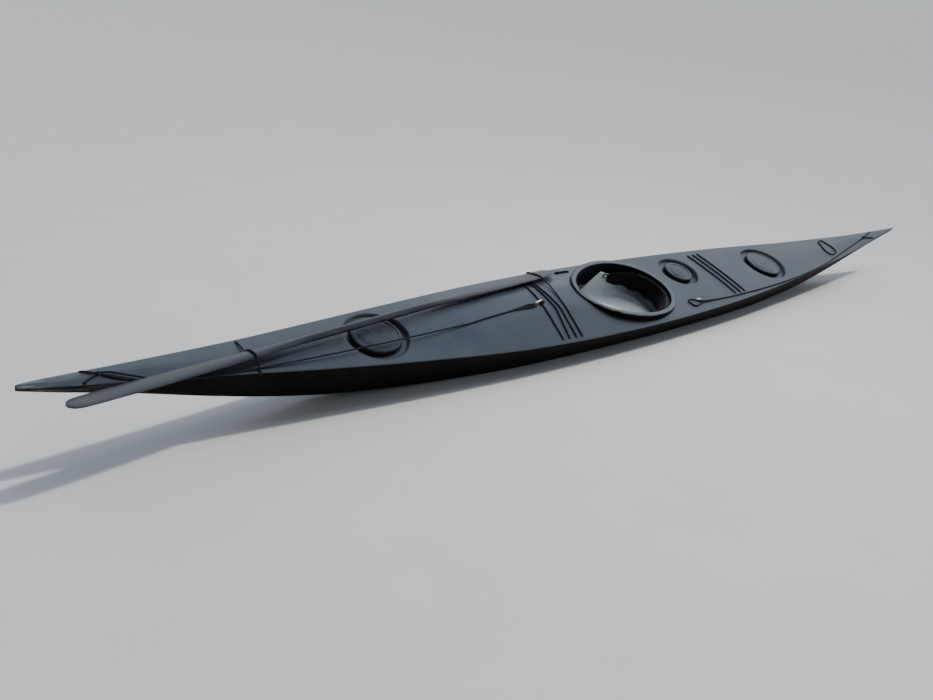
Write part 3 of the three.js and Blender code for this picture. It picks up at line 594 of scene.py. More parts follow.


# The deck's gelcoat is black with a blue cast, which is partly painted sky reflection.
deck_black_and_sky_tint = gelcoat("slate black gelcoat", (0.022, 0.028, 0.037), 0.34)
deck_outer_half = deck_half(stations)
deck_breadth = boat_at(stations)[0][:, None]
deck_skin = np.minimum(SKIN, 0.3 * deck_breadth)
below = np.concatenate([np.ones(DECK_POINTS), np.linspace(1, 0, deck_outer_half.shape[1] - DECK_POINTS)])
deck_inner_half = deck_outer_half.copy()
deck_inner_half[..., 0] *= 1 - deck_skin / deck_breadth
deck_inner_half[..., 1] -= deck_skin * below
deck_cols = 2 * deck_outer_half.shape[1] - 1
deck_inside = np.broadcast_to(np.arange(2 * deck_cols) >= deck_cols, (len(stations) - 1, 2 * deck_cols))
edge_share = np.abs(np.linspace(-1, 1, deck_cols))
edge_scuff = 0.35 * np.clip((edge_share - 0.9) / 0.1, 0, 1)
deck_scuff = np.clip(edge_scuff + np.clip((np.abs(stations) - 2500) / 225, 0, 1)[:, None], 0, 1)
deck = shell("deck_shell", mirrored(deck_outer_half), mirrored(deck_inner_half), deck_inside, deck_scuff,
             [deck_black_and_sky_tint, bare_laminate])
cockpit_turn = full_turn(180)
holes = [(oval(COCKPIT, cockpit_turn, np.full(180, COCKPIT["wall"] + 0.3)), 150, 330),
         (stadium(SLIDER["length"] + 1, SLIDER["width"] + 1) + (SLIDER["x"], SLIDER["y"]), 150, 300)]
holes += [(np.hstack(circled(x, y, recess + RECESS_EDGE)), 100, 300) for _, x, y, recess, _ in HATCHES]
cut_out(deck, [skin(extruded(*hole)) for hole in holes])
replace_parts(deck, "deck_aft", "deck_middle", "deck_fore")

# The recess pans. Columns: radius from the recess, share of the deck's own height, height
PAN_ROWS = [
    (RECESS_EDGE, 1, 0), (3.6, 1, -0.5), (1.6, 1, -1.7), (0, 1, -3.6), (-1.2, 1, -6.2), (-2.2, 0.5, 0),
    (-3.2, 0, 8), (-4.8, 0, 3.6), (-7.4, 0, 1.0), (-12, 0, 0)]
PAN_UNDER = [(-4, 0, -4), (1, 0, -3.4), (3.4, 0, -1), (4, 0.5, -2), (4, 1, -9), (RECESS_EDGE, 1, -4)]
NECK = 14
for name, x, y, recess, cover in HATCHES:
    hole = cover - NECK + 0.6 - recess
    off, share, lift = np.array(PAN_ROWS + [(hole, 0, 0), (hole, 0, -4)] + PAN_UNDER, float).T
    px, py = circled(x, y, recess + off)
    pz = share * deck_up(px, py) + (1 - share) * (deck_up(x, y) - RECESS_DEEP) + lift
    pan = skin(np.stack([px, py, pz], -1), True)
    make_piece(f"{name}_recess", [pan], [deck_black_and_sky_tint])

# Coaming: an upright wall round the cockpit with a flat lip turned outwards, for a spray deck's edge to grip.
# It is laid up in the same fibre, bonded into the deck's opening and filleted to it. Its lip is worn on top.
# Columns: distance out, 1 for a height above the deck or 0 for one above the rim, height
COAMING_ROWS = [
    (0, 1, -14), (0, 0.5, -8), (0, 0, -4), (0.6, 0, -1.8), (2.2, 0, -0.5), (5, 0, 0), (13, 0, 0.2),
    (22.5, 0, -0.1), (25.2, 0, -0.8), (26.5, 0, -2.1), (26.5, 0, -3.4), (25.2, 0, -4.6), (22, 0, -5),
    (10, 0, -5), (7.2, 0, -5.7), (5.8, 0, -7.6), (5.4, 0.5, -1), (5.6, 1, 8), (7.4, 1, 4.4), (12, 1, 1.7),
    (29, 1, 0.3), (29, 1, 0.04), (5.2, 1, 0.04), (5.2, 1, -14)]
LIP_TOP = (3, 7)
# The lip's top is the same gelcoat, painted a little lighter and bluer than the deck: a painted highlight.
lit_lip_gelcoat = gelcoat("lit and worn lip gelcoat", (0.030, 0.038, 0.050), 0.34)
# The coaming's walls, the lip's edge and underside and the fillet 29 mm out on the deck are the same gelcoat,
# painted near-black: painted shade, and a band of painted shadow on the deck round it.
coaming_painted_shade = gelcoat("coaming gelcoat", (0.003, 0.003, 0.0035), 0.45, 0.06)
out, share, lift = np.array(COAMING_ROWS, float).T
plan = oval(COCKPIT, cockpit_turn[:, None] + 0 * out, out + 0 * cockpit_turn[:, None])
rim_share = (plan[..., 0] - COCKPIT["x"] + COCKPIT["half"]) / (2 * COCKPIT["half"])
rim_up = COCKPIT["back"] + (COCKPIT["front"] - COCKPIT["back"]) * rim_share
up = share * deck_up(plan[..., 0], plan[..., 1]) + (1 - share) * rim_up + lift
row_number = np.arange(len(out))
lip_top = (row_number >= LIP_TOP[0]) & (row_number < LIP_TOP[1])
coaming = make_piece("coaming", [skin(
    np.concatenate([plan, up[..., None]], -1), True, finish=np.tile(lip_top, (180, 1)),
    marks={"scuff": np.exp(-((out - 25) / 2.0) ** 2) * 0.8 * (share < 0.5)})], [coaming_painted_shade, lit_lip_gelcoat])
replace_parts(coaming, "cockpit_coaming")

# Hatches: a moulded rubber rim glued over the hole in each recess, and a rubber cover stretched over it.
# The covers have a thick outer bead, a groove and a plain pattern of rings and ribs pressed into the middle.
HATCH_BODIES = {"front": "boat", "day": "day_cover", "rear": "rear_cover"}


def turned(profile, x, y, z, count):
    """A closed profile of (radius, height) turned about an upright axis at x, y, with heights from z."""
    radius, height = np.array(profile, float).T
    px, py = circled(x, y, radius, count)
    return np.stack([px, py, z + height + 0 * px], -1)


def eased(profile, radius, count=5):
    """A closed profile with its corners cut back by the radius, at most 0.45 of a side, and bent round."""
    corner = np.array(profile, float)
    back, forth = np.roll(corner, 1, 0) - corner, np.roll(corner, -1, 0) - corner
    start, end = (corner + side * np.minimum(radius / np.linalg.norm(side, axis=1, keepdims=True), 0.45)
                  for side in (back, forth))
    return rounded(start, corner, end, count, True).reshape(-1, 2)


rubber_black = Finish("hatch rubber", Specular_IOR_Level=0.4)
rubber_dust = rubber_black.patches(0.38, 0.7, 16, 6, 0.65)
rubber_black.dust(rubber_dust, 0.6, (0.013, 0.016, 0.020), (0.050, 0.053, 0.056), 0.31, 0.16)
rubber_black.paint(Normal=rubber_black.bump(rubber_black.noise(900, 2) + rubber_dust * 0.4, 0.0003, 0.5))
rim_black = Finish("rim rubber", Specular_IOR_Level=0.15)
rim_black.paint(Base_Color=rim_black.ramp(rim_black.noise(40, 4), (0.3, 0.008), (0.8, 0.02)),
                Roughness=0.5 + rim_black.noise(30) * 0.2)
for name, x, y, recess, cover in HATCHES:
    neck = cover - NECK
    base = deck_up(x, y) - RECESS_DEEP
    rim = [(neck - 4, -8), (neck, -8), (neck, 0.3), (cover + 4, 0.3), (cover + 4, 3), (neck + 4, 3),
           (neck + 4, 19), (neck - 4, 19)]
    rim_piece = make_piece(f"{name}_rim", [skin(turned(eased(rim, 1.2), x, y, base, 96), True)], [rim_black])
    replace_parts(rim_piece, f"{name}_hatch_rim")
    side = eased([(0, 19.4), (cover - 5, 19.4), (cover - 5, 8), (cover, 8), (cover, 21), (cover - 3.5, 25.2),
                  (cover - 14, 26), (cover - 18, 23.2), (cover - 22, 24.4), (cover - 30, 24.6)], 1.6, 4)[4:]
    top = np.linspace(cover - 31, 0, 44)
    profile = np.concatenate([[(0, 19.4)], side, np.stack([top, 24.6 + 1.6 * (1 - (top / cover) ** 2)], -1)])
    radius = profile[:, 0]
    turn = full_turn(128)[:, None]
    rings = np.exp(-((radius - 0.62 * cover) / 1.6) ** 2) + np.exp(-((radius - 0.22 * cover) / 1.6) ** 2)
    ribs = np.exp(-(np.sin(turn * 4) * radius / 6) ** 2) * ((radius > 0.26 * cover) & (radius < 0.58 * cover))
    points = turned(profile, x, y, base, 128)
    points[..., 2] += (np.arange(len(profile)) >= len(profile) - 44) * (0.9 * rings + 0.8 * ribs)
    wall = np.tile(profile[:, 1] < 21.6, (128, 1))
    cover_piece = make_piece(f"{name}_cover", [skin(points, True, finish=wall)], [rubber_black, rim_black],
                             HATCH_BODIES[name])
    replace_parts(cover_piece, f"{name}_hatch_cover")

# Bulkheads: three flat plates of the same laminate, grey with flowcoat, that part the boat into its holds.
# Each is cut to the section where it stands and bonded in all round, and its edges are rounded by the resin.


def bevelled(node_name, piece_name, finish, width, body="boat", sharp=40):
    """A copy of a CAD node with its triangles merged, flat faces joined and edges rounded by width metres."""
    mesh = bpy.data.meshes.new(piece_name)
    work = bmesh.new()
    work.from_mesh(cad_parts[node_name].data)
    bmesh.ops.remove_doubles(work, verts=work.verts, dist=2e-6)
    bmesh.ops.dissolve_limit(work, angle_limit=np.radians(1.2), verts=work.verts, edges=work.edges)
    bmesh.ops.bevel(work, geom=[edge for edge in work.edges if edge.calc_face_angle(0) > np.radians(25)],
                    offset=width, offset_type="OFFSET", segments=2, profile=0.5, affect="EDGES",
                    clamp_overlap=True)
    bmesh.ops.recalc_face_normals(work, faces=work.faces)
    work.to_mesh(mesh)
    work.free()
    mesh.materials.clear()
    mesh.materials.append(finish.material)
    mesh.shade_smooth()
    mesh.set_sharp_from_angle(angle=np.radians(sharp))
    piece = in_scene(piece_name, mesh)
    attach(piece, body)
    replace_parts(piece, node_name)


for name in ("front", "cockpit", "rear"):
    bevelled(f"{name}_bulkhead", f"{name}_bulkhead_plate", inner_grey, 0.0012)

# Skeg: a black nylon blade in a narrow grey box over the keel. It turns down about a pin at its fore end, and
# is worked by the slider on the deck.
bevelled("skeg_box", "skeg_trunk", inner_grey, 0.0008)
skeg_black = Finish("black nylon", Specular_IOR_Level=0.4)
skeg_marks = skeg_black.patches(0.45, 0.68, 70, 5, 0.7, (0.3, 1, 1.6))
skeg_black.dust(skeg_marks, 0.5, (0.014, 0.015, 0.016), (0.06, 0.06, 0.058), 0.42, 0.2)
skeg_black.paint(Normal=skeg_black.bump(skeg_marks * -1.0, 0.0003, 0.6))
bevelled("skeg", "skeg_blade", skeg_black, 0.0011, "skeg", 50)

# Skeg slider: a black plastic tray sunk in the starboard side deck, with round ends and a proud rim, and the
# knob that slides along it.
# Columns of both: length, width and height above the deck of loops from the bottom up; 0 long is one point
TRAY_LOOPS = [
    (0, 0, -18), (84, 11, -18), (86, 12, -17), (86, 12, -5), (102, 19, -4), (102, 19, 2.4),
    (100.6, 17.6, 3.2), (97, 14, 3.2), (95.5, 12.5, 2.2), (90, 10, -4), (82, 7, -14), (80, 5, -15),
    (0, 0, -15)]
KNOB_LOOPS = [
    (0, 0, -14.6), (13, 4.6, -14.6), (14, 5, -13.8), (14, 5, 0.6), (16.5, 8.6, 1.0), (18, 10, 1.8),
    (18.4, 10.4, 4.2), (18, 10, 7.2), (16, 8, 8.7), (12.5, 4.8, 9), (0, 0, 9)]
slider_black = Finish("slider plastic", Specular_IOR_Level=0.08)
slider_dust = slider_black.patches(0.4, 0.7, 90, 4)
slider_black.dust(slider_dust, 0.5, (0.003, 0.003, 0.0035), (0.012, 0.012, 0.011), 0.4, 0.25)
slider_black.paint(Normal=slider_black.bump(slider_black.noise(700, 2), 0.0002, 0.4))


def on_deck_loops(name, loops, x):
    """A piece of plan loops about x on the deck, each a stadium of its length and width."""
    rows = []
    for length, wide, height in loops:
        plan = (stadium(length, wide) if length else np.zeros((48, 2))) + (x, SLIDER["y"])
        rows.append(np.column_stack([plan, deck_up(plan[:, 0], plan[:, 1]) + height]))
    return make_piece(name, [skin(rows)], [slider_black])


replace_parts(on_deck_loops("slider_tray", TRAY_LOOPS, SLIDER["x"]), "skeg_slider_tray")
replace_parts(on_deck_loops("slider_knob", KNOB_LOOPS, SLIDER["knob"]), "skeg_slider_knob")

# Seat: a shallow bucket of grey fibre on the bottom panels, with high cheeks whose front edges slope down.
# It is moulded in one piece, 4 mm thick, and has the same coat as the hull has round it.
# Columns: number, y, height above the bottom panel's seat line
SEAT_ROWS = [(0, 0, -10), (1, 40, -10.3), (2, 80, -9.6), (3, 118, -5.6), (4, 150, 0), (5, 168, 10),
             (6, 178, 29)]
# Columns: x, height of the cheek's top edge
SEAT_TOPS = [(-285, 158), (-220, 166), (-150, 172), (-85, 179), (-44, 190), (-16, 202), (-4, 206), (46, 158),
             (92, 104)]
SEAT_SIT, SEAT_THICK, SEAT_EASE = 51.0, 4, 6
CHEEK_OUT, CHEEK_UP, CHEEK_LEAN = 178, 29, 8
seat_x = np.linspace(-285, 92, 90)
seat_tops = np.array(SEAT_TOPS, float).T
shifts = np.linspace(-SEAT_EASE, SEAT_EASE, 7)
cheek_top = np.mean([np.interp(seat_x + shift, *seat_tops) for shift in shifts], 0)
seat_y, seat_z = along(SEAT_ROWS, np.linspace(0, 6, 40)).T
cheek_share = np.linspace(0, 1, 16)[1:]
every_x = 0 * seat_x[:, None]
seat_half_y = np.concatenate([seat_y + every_x, CHEEK_OUT + CHEEK_LEAN * cheek_share ** 0.6 + every_x], 1)
cheek_z = SEAT_SIT + CHEEK_UP + (cheek_top[:, None] - SEAT_SIT - CHEEK_UP) * cheek_share
seat_half_z = np.concatenate([SEAT_SIT + seat_z + every_x, cheek_z], 1)
seat_section = mirrored(np.stack([seat_half_y, seat_half_z], -1))
seat_top = seat_section + square_to(seat_section) * SEAT_THICK
seat_rings = ring_of_skin(seat_section, seat_top, seat_x, seat_x)
seat_middle = (seat_rings + seat_rings[:, ::-1]) / 2
seat_rings = np.concatenate([seat_middle[:1], seat_rings, seat_middle[-1:]])
seat = make_piece("seat", [skin(seat_rings)], [inner_grey])
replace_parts(seat, "seat_pan")

# Back band: a padded nylon belt round the after half of the cockpit, with two sewn channels and a bound edge,
# hung from webbing straps that are bolted to the seat's cheeks.
# Its oval in plan and its section in boat millimetres, as the solid has them
BAND = {"x": 15, "half": 300, "wide": 178, "egg": -0.16, "inset": 11.9, "from": 104.5, "to": 255.5,
        "low": 103, "high": 205, "lift": 30, "thick": 8.5}
CHANNELS = (-0.36, 0.30)
pad_black = Finish("black pack cloth", Specular_IOR_Level=0.10, Sheen_Weight=0.05)
pad_weave = pad_black.node("ShaderNodeTexChecker", {}, {0: pad_black.place(), "Scale": 900.0}, "Fac")
pad_dust = pad_black.patches(0.40, 0.75, 26, 6, 0.65)
pad_black.dust(pad_dust, 0.5, (0.0025, 0.0025, 0.0035), (0.009, 0.009, 0.010), 0.72, 0.15)
pad_black.paint(Normal=pad_black.bump(pad_weave * 0.5 + pad_black.noise(320, 2), 0.0004, 0.7))
band_angle = np.radians(np.linspace(BAND["from"], BAND["to"], 150))
band_share = np.linspace(-1, 1, 150)[:, None]
band_round = full_turn(72)


def signed_power(value, power):
    """The value's sign times its size to the power, which squares a circle's sine and cosine up."""
    return np.sign(value) * np.abs(value) ** power


# The section is a flat oval with nearly square corners that narrows towards the band's ends
band_end = np.sqrt(np.clip(1 - np.abs(band_share) ** 9, 0, 1))
# Its lower edge sags in waves, most at the starboard side, 7 sin(18.5 s + 1.74) at share s
band_sag = 7 * np.sin(18.5 * band_share + 1.74) * np.clip(0.55 + band_share, 0.15, 1) * (1 - band_share ** 4)
band_low = BAND["low"] + BAND["lift"] * band_share ** 2 + band_sag
band_half_tall = (BAND["high"] - band_low) / 2
band_level = signed_power(np.sin(band_round), 0.62)
band_out = signed_power(np.cos(band_round), 0.75) * BAND["thick"]
band_height = (BAND["high"] + band_low) / 2 + band_half_tall * band_level * (0.62 + 0.38 * band_end)
# Sewn channels pull both faces in; the cloth puckers along them and sags a little between
channel = sum(np.exp(-((band_level - level) / 0.055) ** 2) for level in CHANNELS)
binding = np.exp(-((np.abs(band_level) - 0.90) / 0.035) ** 2)
near_channel = np.exp(-((np.abs(band_level) - 0.33) / 0.2) ** 2)
pucker = 0.35 * np.sin(band_share * 150 + 3 * band_level) * near_channel
swell = 1 + 0.28 * np.cos(band_level * np.pi * 1.4) + 0.08 * np.sin(band_share * 23 + band_level * 4)
band_out = band_out * (0.35 + 0.65 * band_end) * (swell - 0.42 * channel - 0.25 * binding) + 0.5 * pucker
band_xy = oval(BAND, band_angle[:, None] + 0 * band_round, band_out - BAND["inset"])
band_points = capped(np.concatenate([band_xy, band_height[..., None]], -1))
band = make_piece("back_band_pad", [skin(band_points)], [pad_black], sharp=70)
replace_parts(band, "back_band")

# Straps: nylon webbing 25 mm wide, sewn to the band's ends and hung on the seat's cheeks, where a stainless
# bolt with a washer holds each.
BOLT_X, BOLT_Y, BOLT_Z = -44, 174.6, 178
STRAP_AT = 68
# A flat section 25 mm high and 1.6 mm thick with rounded rims. Columns: x, y, z
STRAP_RING = np.array([(0, -0.3, -12.5), (0, 0.8, -11.6), (0, 0.8, 11.6), (0, 0.3, 12.5), (0, -0.8, 11.6),
                       (0, -0.8, -11.6)])
# A washer and a domed head. Columns: radius, height off the strap
BOLT_PROFILE = [(0, 0), (9, 0), (9, 1.2), (5.6, 1.4), (5.5, 2.6), (4.4, 4.2), (2.4, 5.0), (0, 5.2)]


def metal(name, share, dark, light, rough, *grain):
    """Bare metal with a fine grain in its colour, its roughness and its relief."""
    finish = Finish(name, Metallic=share)
    grain = finish.noise(*grain)
    finish.paint(Base_Color=finish.ramp(grain, (0.3, dark), (0.7, light)), Roughness=rough + grain * 0.2,
                 Normal=finish.bump(grain, 0.0001, 0.4))
    return finish


def run_of(points):
    """How far along their line each of the points is, as the sum of the chords before it."""
    return np.concatenate([[0], np.cumsum(np.linalg.norm(np.diff(points, axis=0), axis=1))])


strap_black = Finish("nylon webbing", Specular_IOR_Level=0.3)
strap_rib = strap_black.sine(strap_black.part(strap_black.place(), 0) * 2600.0)
strap_black.paint(Base_Color=strap_black.ramp(strap_black.noise(90, 3), (0.3, 0.007), (0.8, 0.018)),
                  Roughness=0.7 + strap_black.noise(60) * 0.1,
                  Normal=strap_black.bump(strap_rib, 0.0004, 0.8))
bolt_steel = metal("stainless steel", 0.6, (0.72, 0.71, 0.69), (0.86, 0.85, 0.83), 0.22, 900, 3)
bolt_grids = []
strap_grids = []
for side in (-1, 1):
    x, y = oval(BAND, np.radians(180 - side * STRAP_AT), -BAND["inset"])
    spots = np.array([(x - 26, y - side * 8.5, 172), (x + 4, y - side * 6.5, 173), (-62, side * 172, 175),
                      (-44, side * 175, 178), (-28, side * 176, 179)])
    run = run_of(spots)
    path = along(np.column_stack([run, spots]), np.linspace(0, run[-1], 30))
    strap_grids.append(skin(capped(path[:, None] + STRAP_RING)))
    radius, height = np.array(BOLT_PROFILE, float).T
    bolt_x, bolt_z = circled(BOLT_X, BOLT_Z, radius, 32)
    bolt_y = side * (BOLT_Y - height) + 0 * bolt_x
    bolt_grids.append(skin(np.stack([bolt_x, bolt_y, bolt_z], -1), True, False))
make_piece("band_straps", strap_grids, [strap_black])
make_piece("band_bolts", bolt_grids, [bolt_steel])

# Foot rests: rails of brushed alloy bolted to the hull's sides, each with a black rubber pedal that is ribbed
# across and slides along it.
RAIL_GRAIN = (500, 3, 0.6, (0.02, 1, 1))
rail_metal = metal("brushed alloy", 1.0, (0.50, 0.51, 0.53), (0.66, 0.67, 0.69), 0.26, *RAIL_GRAIN)
pedal_black = Finish("ribbed pedal rubber", Specular_IOR_Level=0.4)
pedal_rib = pedal_black.sine(pedal_black.part(pedal_black.place(), 2) * 1050.0)
pedal_black.paint(Base_Color=pedal_black.ramp(pedal_black.noise(60, 4), (0.3, 0.014), (0.75, 0.034)),
                  Roughness=0.55 + pedal_black.noise(120) * 0.2,
                  Normal=pedal_black.bump(pedal_rib, 0.0008, 0.8))
for side in ("port", "starboard"):
    bevelled(f"foot_rail_{side}", f"rail_{side}", rail_metal, 0.0012)
    bevelled(f"foot_pedal_{side}", f"pedal_{side}", pedal_black, 0.0022)

# Paddle: one length of wood, painted dark grey, with two long narrow blades and an oval loom between them.
# It is stowed aslant over the foredeck, under two of its lines, and its tips and edges are worn.
# Columns: distance from the middle, half-width, half-thickness
BLADE_ROWS = [(0, 16, 14), (257, 16, 14), (329, 18, 13), (442, 26, 11), (576, 35, 9.5), (740, 42.5, 8),
              (977, 46, 6.5), (1080, 44, 5.5), (1116, 39, 5), (1133, 26, 4.5), (1140, 10, 4)]
PADDLE_HALF = 1140
PADDLE_TILT = np.radians(21.5)
paddle_aft, paddle_fore = np.array([358, -204, 248.9]), np.array([2614, 123, 335])
paddle_middle = (paddle_aft + paddle_fore) / 2
paddle_along = unit(paddle_fore - paddle_aft)
level = unit(np.cross((0, 0, 1), paddle_along))
paddle_across = level * np.cos(PADDLE_TILT) + np.cross(paddle_along, level) * np.sin(PADDLE_TILT)
paddle_square = np.cross(paddle_along, paddle_across)


def on_paddle(s, across, up):
    """A place s along the paddle from its middle, across the blade and square to it."""
    s, across, up = (np.asarray(part)[..., None] for part in (s, across, up))
    return paddle_middle + s * paddle_along + across * paddle_across + up * paddle_square


paddle_paint = Finish("worn paddle paint", Specular_IOR_Level=0.35)
paddle_grain = paddle_paint.noise(60, 4, 0.6, (0.12, 1, 1))
paddle_worn = paddle_paint.patches(0.42, 0.6, 34, 6, 0.7, (0.4, 1, 1)) * paddle_paint.mark("scuff")
paddle_grey = paddle_paint.ramp(paddle_grain, (0.3, (0.010, 0.012, 0.016)), (0.75, (0.020, 0.023, 0.030)))
paddle_paint.paint(
    Base_Color=paddle_paint.blend(paddle_worn * 0.8, paddle_grey, (0.09, 0.08, 0.07)),
    Roughness=0.32 + paddle_grain * 0.16 + paddle_worn * 0.2,
    Normal=paddle_paint.bump(paddle_grain + paddle_worn * -0.4, 0.0005, 0.5))
tip_s = 1080 + 60 * np.sin(np.linspace(0, np.pi / 2, 16))
half_s = np.concatenate([np.linspace(0, 1080, 90, endpoint=False), tip_s])
paddle_s = np.concatenate([-half_s[:0:-1], half_s])
width, thick = along(BLADE_ROWS, np.abs(paddle_s)).T
turn = full_turn(40)
paddle_rings = on_paddle(
    paddle_s[:, None] + 0 * turn, width[:, None] * np.cos(turn), thick[:, None] * np.sin(turn))
tips = on_paddle(np.array([-1, 1]) * (PADDLE_HALF + 0.5), np.zeros(2), np.zeros(2))[:, None, None]
aft_tip, fore_tip = np.broadcast_to(tips, (2, 1, 40, 3))
ring_s = np.concatenate([[-PADDLE_HALF], paddle_s, [PADDLE_HALF]])[:, None]
tip_worn = np.clip((np.abs(ring_s) - 900) / 240, 0, 1)
paddle_scuff = np.clip(tip_worn ** 2 + 0.5 * np.abs(np.cos(turn)) ** 12, 0, 1)
paddle = make_piece("paddle", [skin(
    np.concatenate([aft_tip, paddle_rings, fore_tip]), marks={"scuff": paddle_scuff})], [paddle_paint])
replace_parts(paddle, "greenland_paddle")

# Deck lines: black braided cord, 6.6 mm thick, pulled taut across the deck before and behind the cockpit and
# over the paddle. Each goes down through a small rubber eye at both its ends.
CORD = 3.3
HOLE_SHARE = 0.91
# Columns: name, x at the far hole, over the ridge's two sides and at the near hole
FORE_LINES = [("b", 510, 540, 532, 536), ("c", 535, 560, 559, 577), ("d", 572, 602, 618, 616)]
# Columns: name, x at the far hole, x at the near hole
AFT_LINES = [("a", -710, -740), ("b", -754, -783), ("c", -796, -824)]
AFT_FAR_Y, AFT_NEAR_Y = -182, 174
# Columns: radius and height above the deck of an eye's section
EYE_ROWS = [(3.2, -3), (3.2, 0.6), (3.8, 1.2), (5.4, 1.2), (6.6, 0.6), (7.2, -0.4), (7.2, -3)]
cord_black = Finish("braided cord", Specular_IOR_Level=0.25)
cord_uv = cord_black.node("ShaderNodeUVMap", {"uv_map": "weave"}, {})
cord_run, cord_round = cord_black.part(cord_uv, 0) * 1000.0, cord_black.part(cord_uv, 1) * 1600.0
cord_braid = cord_black.sine(cord_run + cord_round) * cord_black.sine(cord_run - cord_round)
cord_fade = cord_black.noise(30, 4)
cord_black.paint(
    Base_Color=cord_black.ramp(cord_braid * 0.15 + cord_fade, (0.25, (0.004, 0.004, 0.005)),
                               (0.85, (0.020, 0.021, 0.023))),
    Roughness=0.62 + cord_fade * 0.2, Normal=cord_black.bump(cord_braid, 0.0004, 0.8))
eyes = []


def rings_round(path, radius, count, first, second):
    """Rings of so many points round the path, r (a cos t + b sin t), of its two directions at each point."""
    turn = full_turn(count)[:, None]
    return path[:, None] + radius * (first[:, None] * np.cos(turn) + second[:, None] * np.sin(turn))


def tube(path, loop=False):
    """A cord along path points in boat millimetres: rings whose first direction is level and square to the
    path, and whose second is square to both."""
    step = np.roll(path, -1, 0) - np.roll(path, 1, 0) if loop else np.gradient(path, axis=0)
    flat = np.hypot(step[:, 0], step[:, 1])
    step = unit(step)
    sure = flat > 0.05 * flat.max()
    number = np.arange(len(path))
    heading = np.interp(number, number[sure], np.unwrap(np.arctan2(step[sure, 1], step[sure, 0])))
    level = np.stack([-np.sin(heading), np.cos(heading), 0 * heading], -1)
    rings = rings_round(path, CORD, 10, level, np.cross(step, level))
    grain = (np.linalg.norm(np.diff(path, axis=0), axis=1).mean() / 1000, 2 * np.pi * CORD / 10 / 1000)
    return skin(rings if loop else capped(rings), loop, grain=grain)


def route(points, step=5, loop=False):
    """A smooth path through (x, y, height of the cord's underside above the deck)."""
    points = np.array(points, float)
    if loop:
        points = np.concatenate([points[-2:], points, points[:2]])
    run = run_of(points)
    first, last = (run[2], run[-2]) if loop else (0, run[-1])
    at = np.linspace(first, last, int((last - first) / step) + 2)[:-1 if loop else None]
    x, y, lift = along(np.column_stack([run, points]), at).T
    return np.stack([x, y, deck_up(x, y) + CORD + lift], -1)


def taut(points):
    """The points, and two more in each span, a tenth of it from its ends, so that it runs straight."""
    points = np.array(points, float)
    start, way = points[:-1], np.diff(points, axis=0)
    spans = np.stack([start, start + 0.1 * way, start + 0.9 * way], 1)
    return np.concatenate([spans.reshape(-1, 3), points[-1:]])


def down(spot, back):
    """Where a line goes down through its eye: a point under the deck, one in the hole and two beside it."""
    (x, y), (dx, dy) = spot, back
    return [(x, y, -16), (x, y, -7), (x + 0.4 * dx, y + 0.4 * dy, -1.5), (x + dx, y + dy, 0)]


def level_lift(x, y, z):
    """Height above the deck at which a cord's middle is at z."""
    return z - CORD - deck_up(x, y)


def over_paddle(x):
    """Points of a cord round the paddle's upper side at x, 0.4 mm off it, from its far to its near edge."""
    s = (x - paddle_middle[0]) / paddle_along[0]
    wide, thick = along(BLADE_ROWS, np.array([abs(s)]))[0]
    turn = np.radians(np.array([178, 160, 135, 105, 75, 45, 20, 2]))
    off = (CORD + 0.4) / np.hypot(np.cos(turn) / wide, np.sin(turn) / thick)
    spots = on_paddle(s + 0 * turn, wide * np.cos(turn) + off * np.cos(turn) / wide,
                      thick * np.sin(turn) + off * np.sin(turn) / thick)
    return np.column_stack([spots[:, :2], level_lift(*spots.T)])


def eye(spot):
    """A low rubber ring round a hole, laid on the deck."""
    radius, height = np.array(EYE_ROWS).T
    px, py = circled(*spot, radius, 24)
    return skin(np.stack([px, py, deck_up(px, py) + height], -1), True)


def line_piece(name, grids):
    piece = make_piece(name, grids, [cord_black], sharp=60)
    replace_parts(piece, name.replace("_cord", "_line"))


def cross_line(name, far, near, points):
    """A line between two holes along the points, and the eyes at both."""
    line_piece(name, [tube(route(points))])
    eyes.extend([eye(far), eye(near)])


def taut_between(far, bends, near):
    """A taut line's points from its far hole over its bends to its near hole, straight between them."""
    return taut(down(far, (0, 6)) + bends + down(near, (0, -6))[::-1])


def ridge(x, side):
    """The point of a cord over the ridge between the raised middle and the side deck."""
    return (x, side * float(along(DECK_ROWS, np.array([x]))[0, 1]), 0.2)


def hole(x, side):
    """A line's hole in the side deck: 0.91 of the way out to the sheer."""
    return (x, side * float(HOLE_SHARE * boat_at(np.array([x]))[0][0]))


for name, far_x, starboard, port, near_x in FORE_LINES:
    far, near = hole(far_x, -1), hole(near_x, 1)
    bends = [ridge(starboard, -1), ((starboard + port) / 2, 0, 0.1), ridge(port, 1)]
    cross_line(f"fore_cross_cord_{name}", far, near, taut_between(far, bends, near))
far, near = hole(467, -1), hole(500, 1)
cross_line("fore_cross_cord_a", far, near, np.concatenate([
    down(far, (2, 4)), over_paddle(482), taut([ridge(500, 1)] + down(near, (0, -6))[::-1])]))
far, near = (2014, -74), (1990, 90)
cross_line("blade_cord", far, near, np.concatenate([
    down(far, (0, 5)), over_paddle(2003), down(near, (0, -5))[::-1]]))
for name, far_x, near_x in AFT_LINES:
    far, near = (far_x, AFT_FAR_Y), (near_x, AFT_NEAR_Y)
    middle = (far_x + near_x) / 2
    bends = [(middle + 8, -90, 0.1), (middle, 0, 0.1), (middle - 8, 90, 0.1)]
    cross_line(f"aft_cross_cord_{name}", far, near, taut_between(far, bends, near))

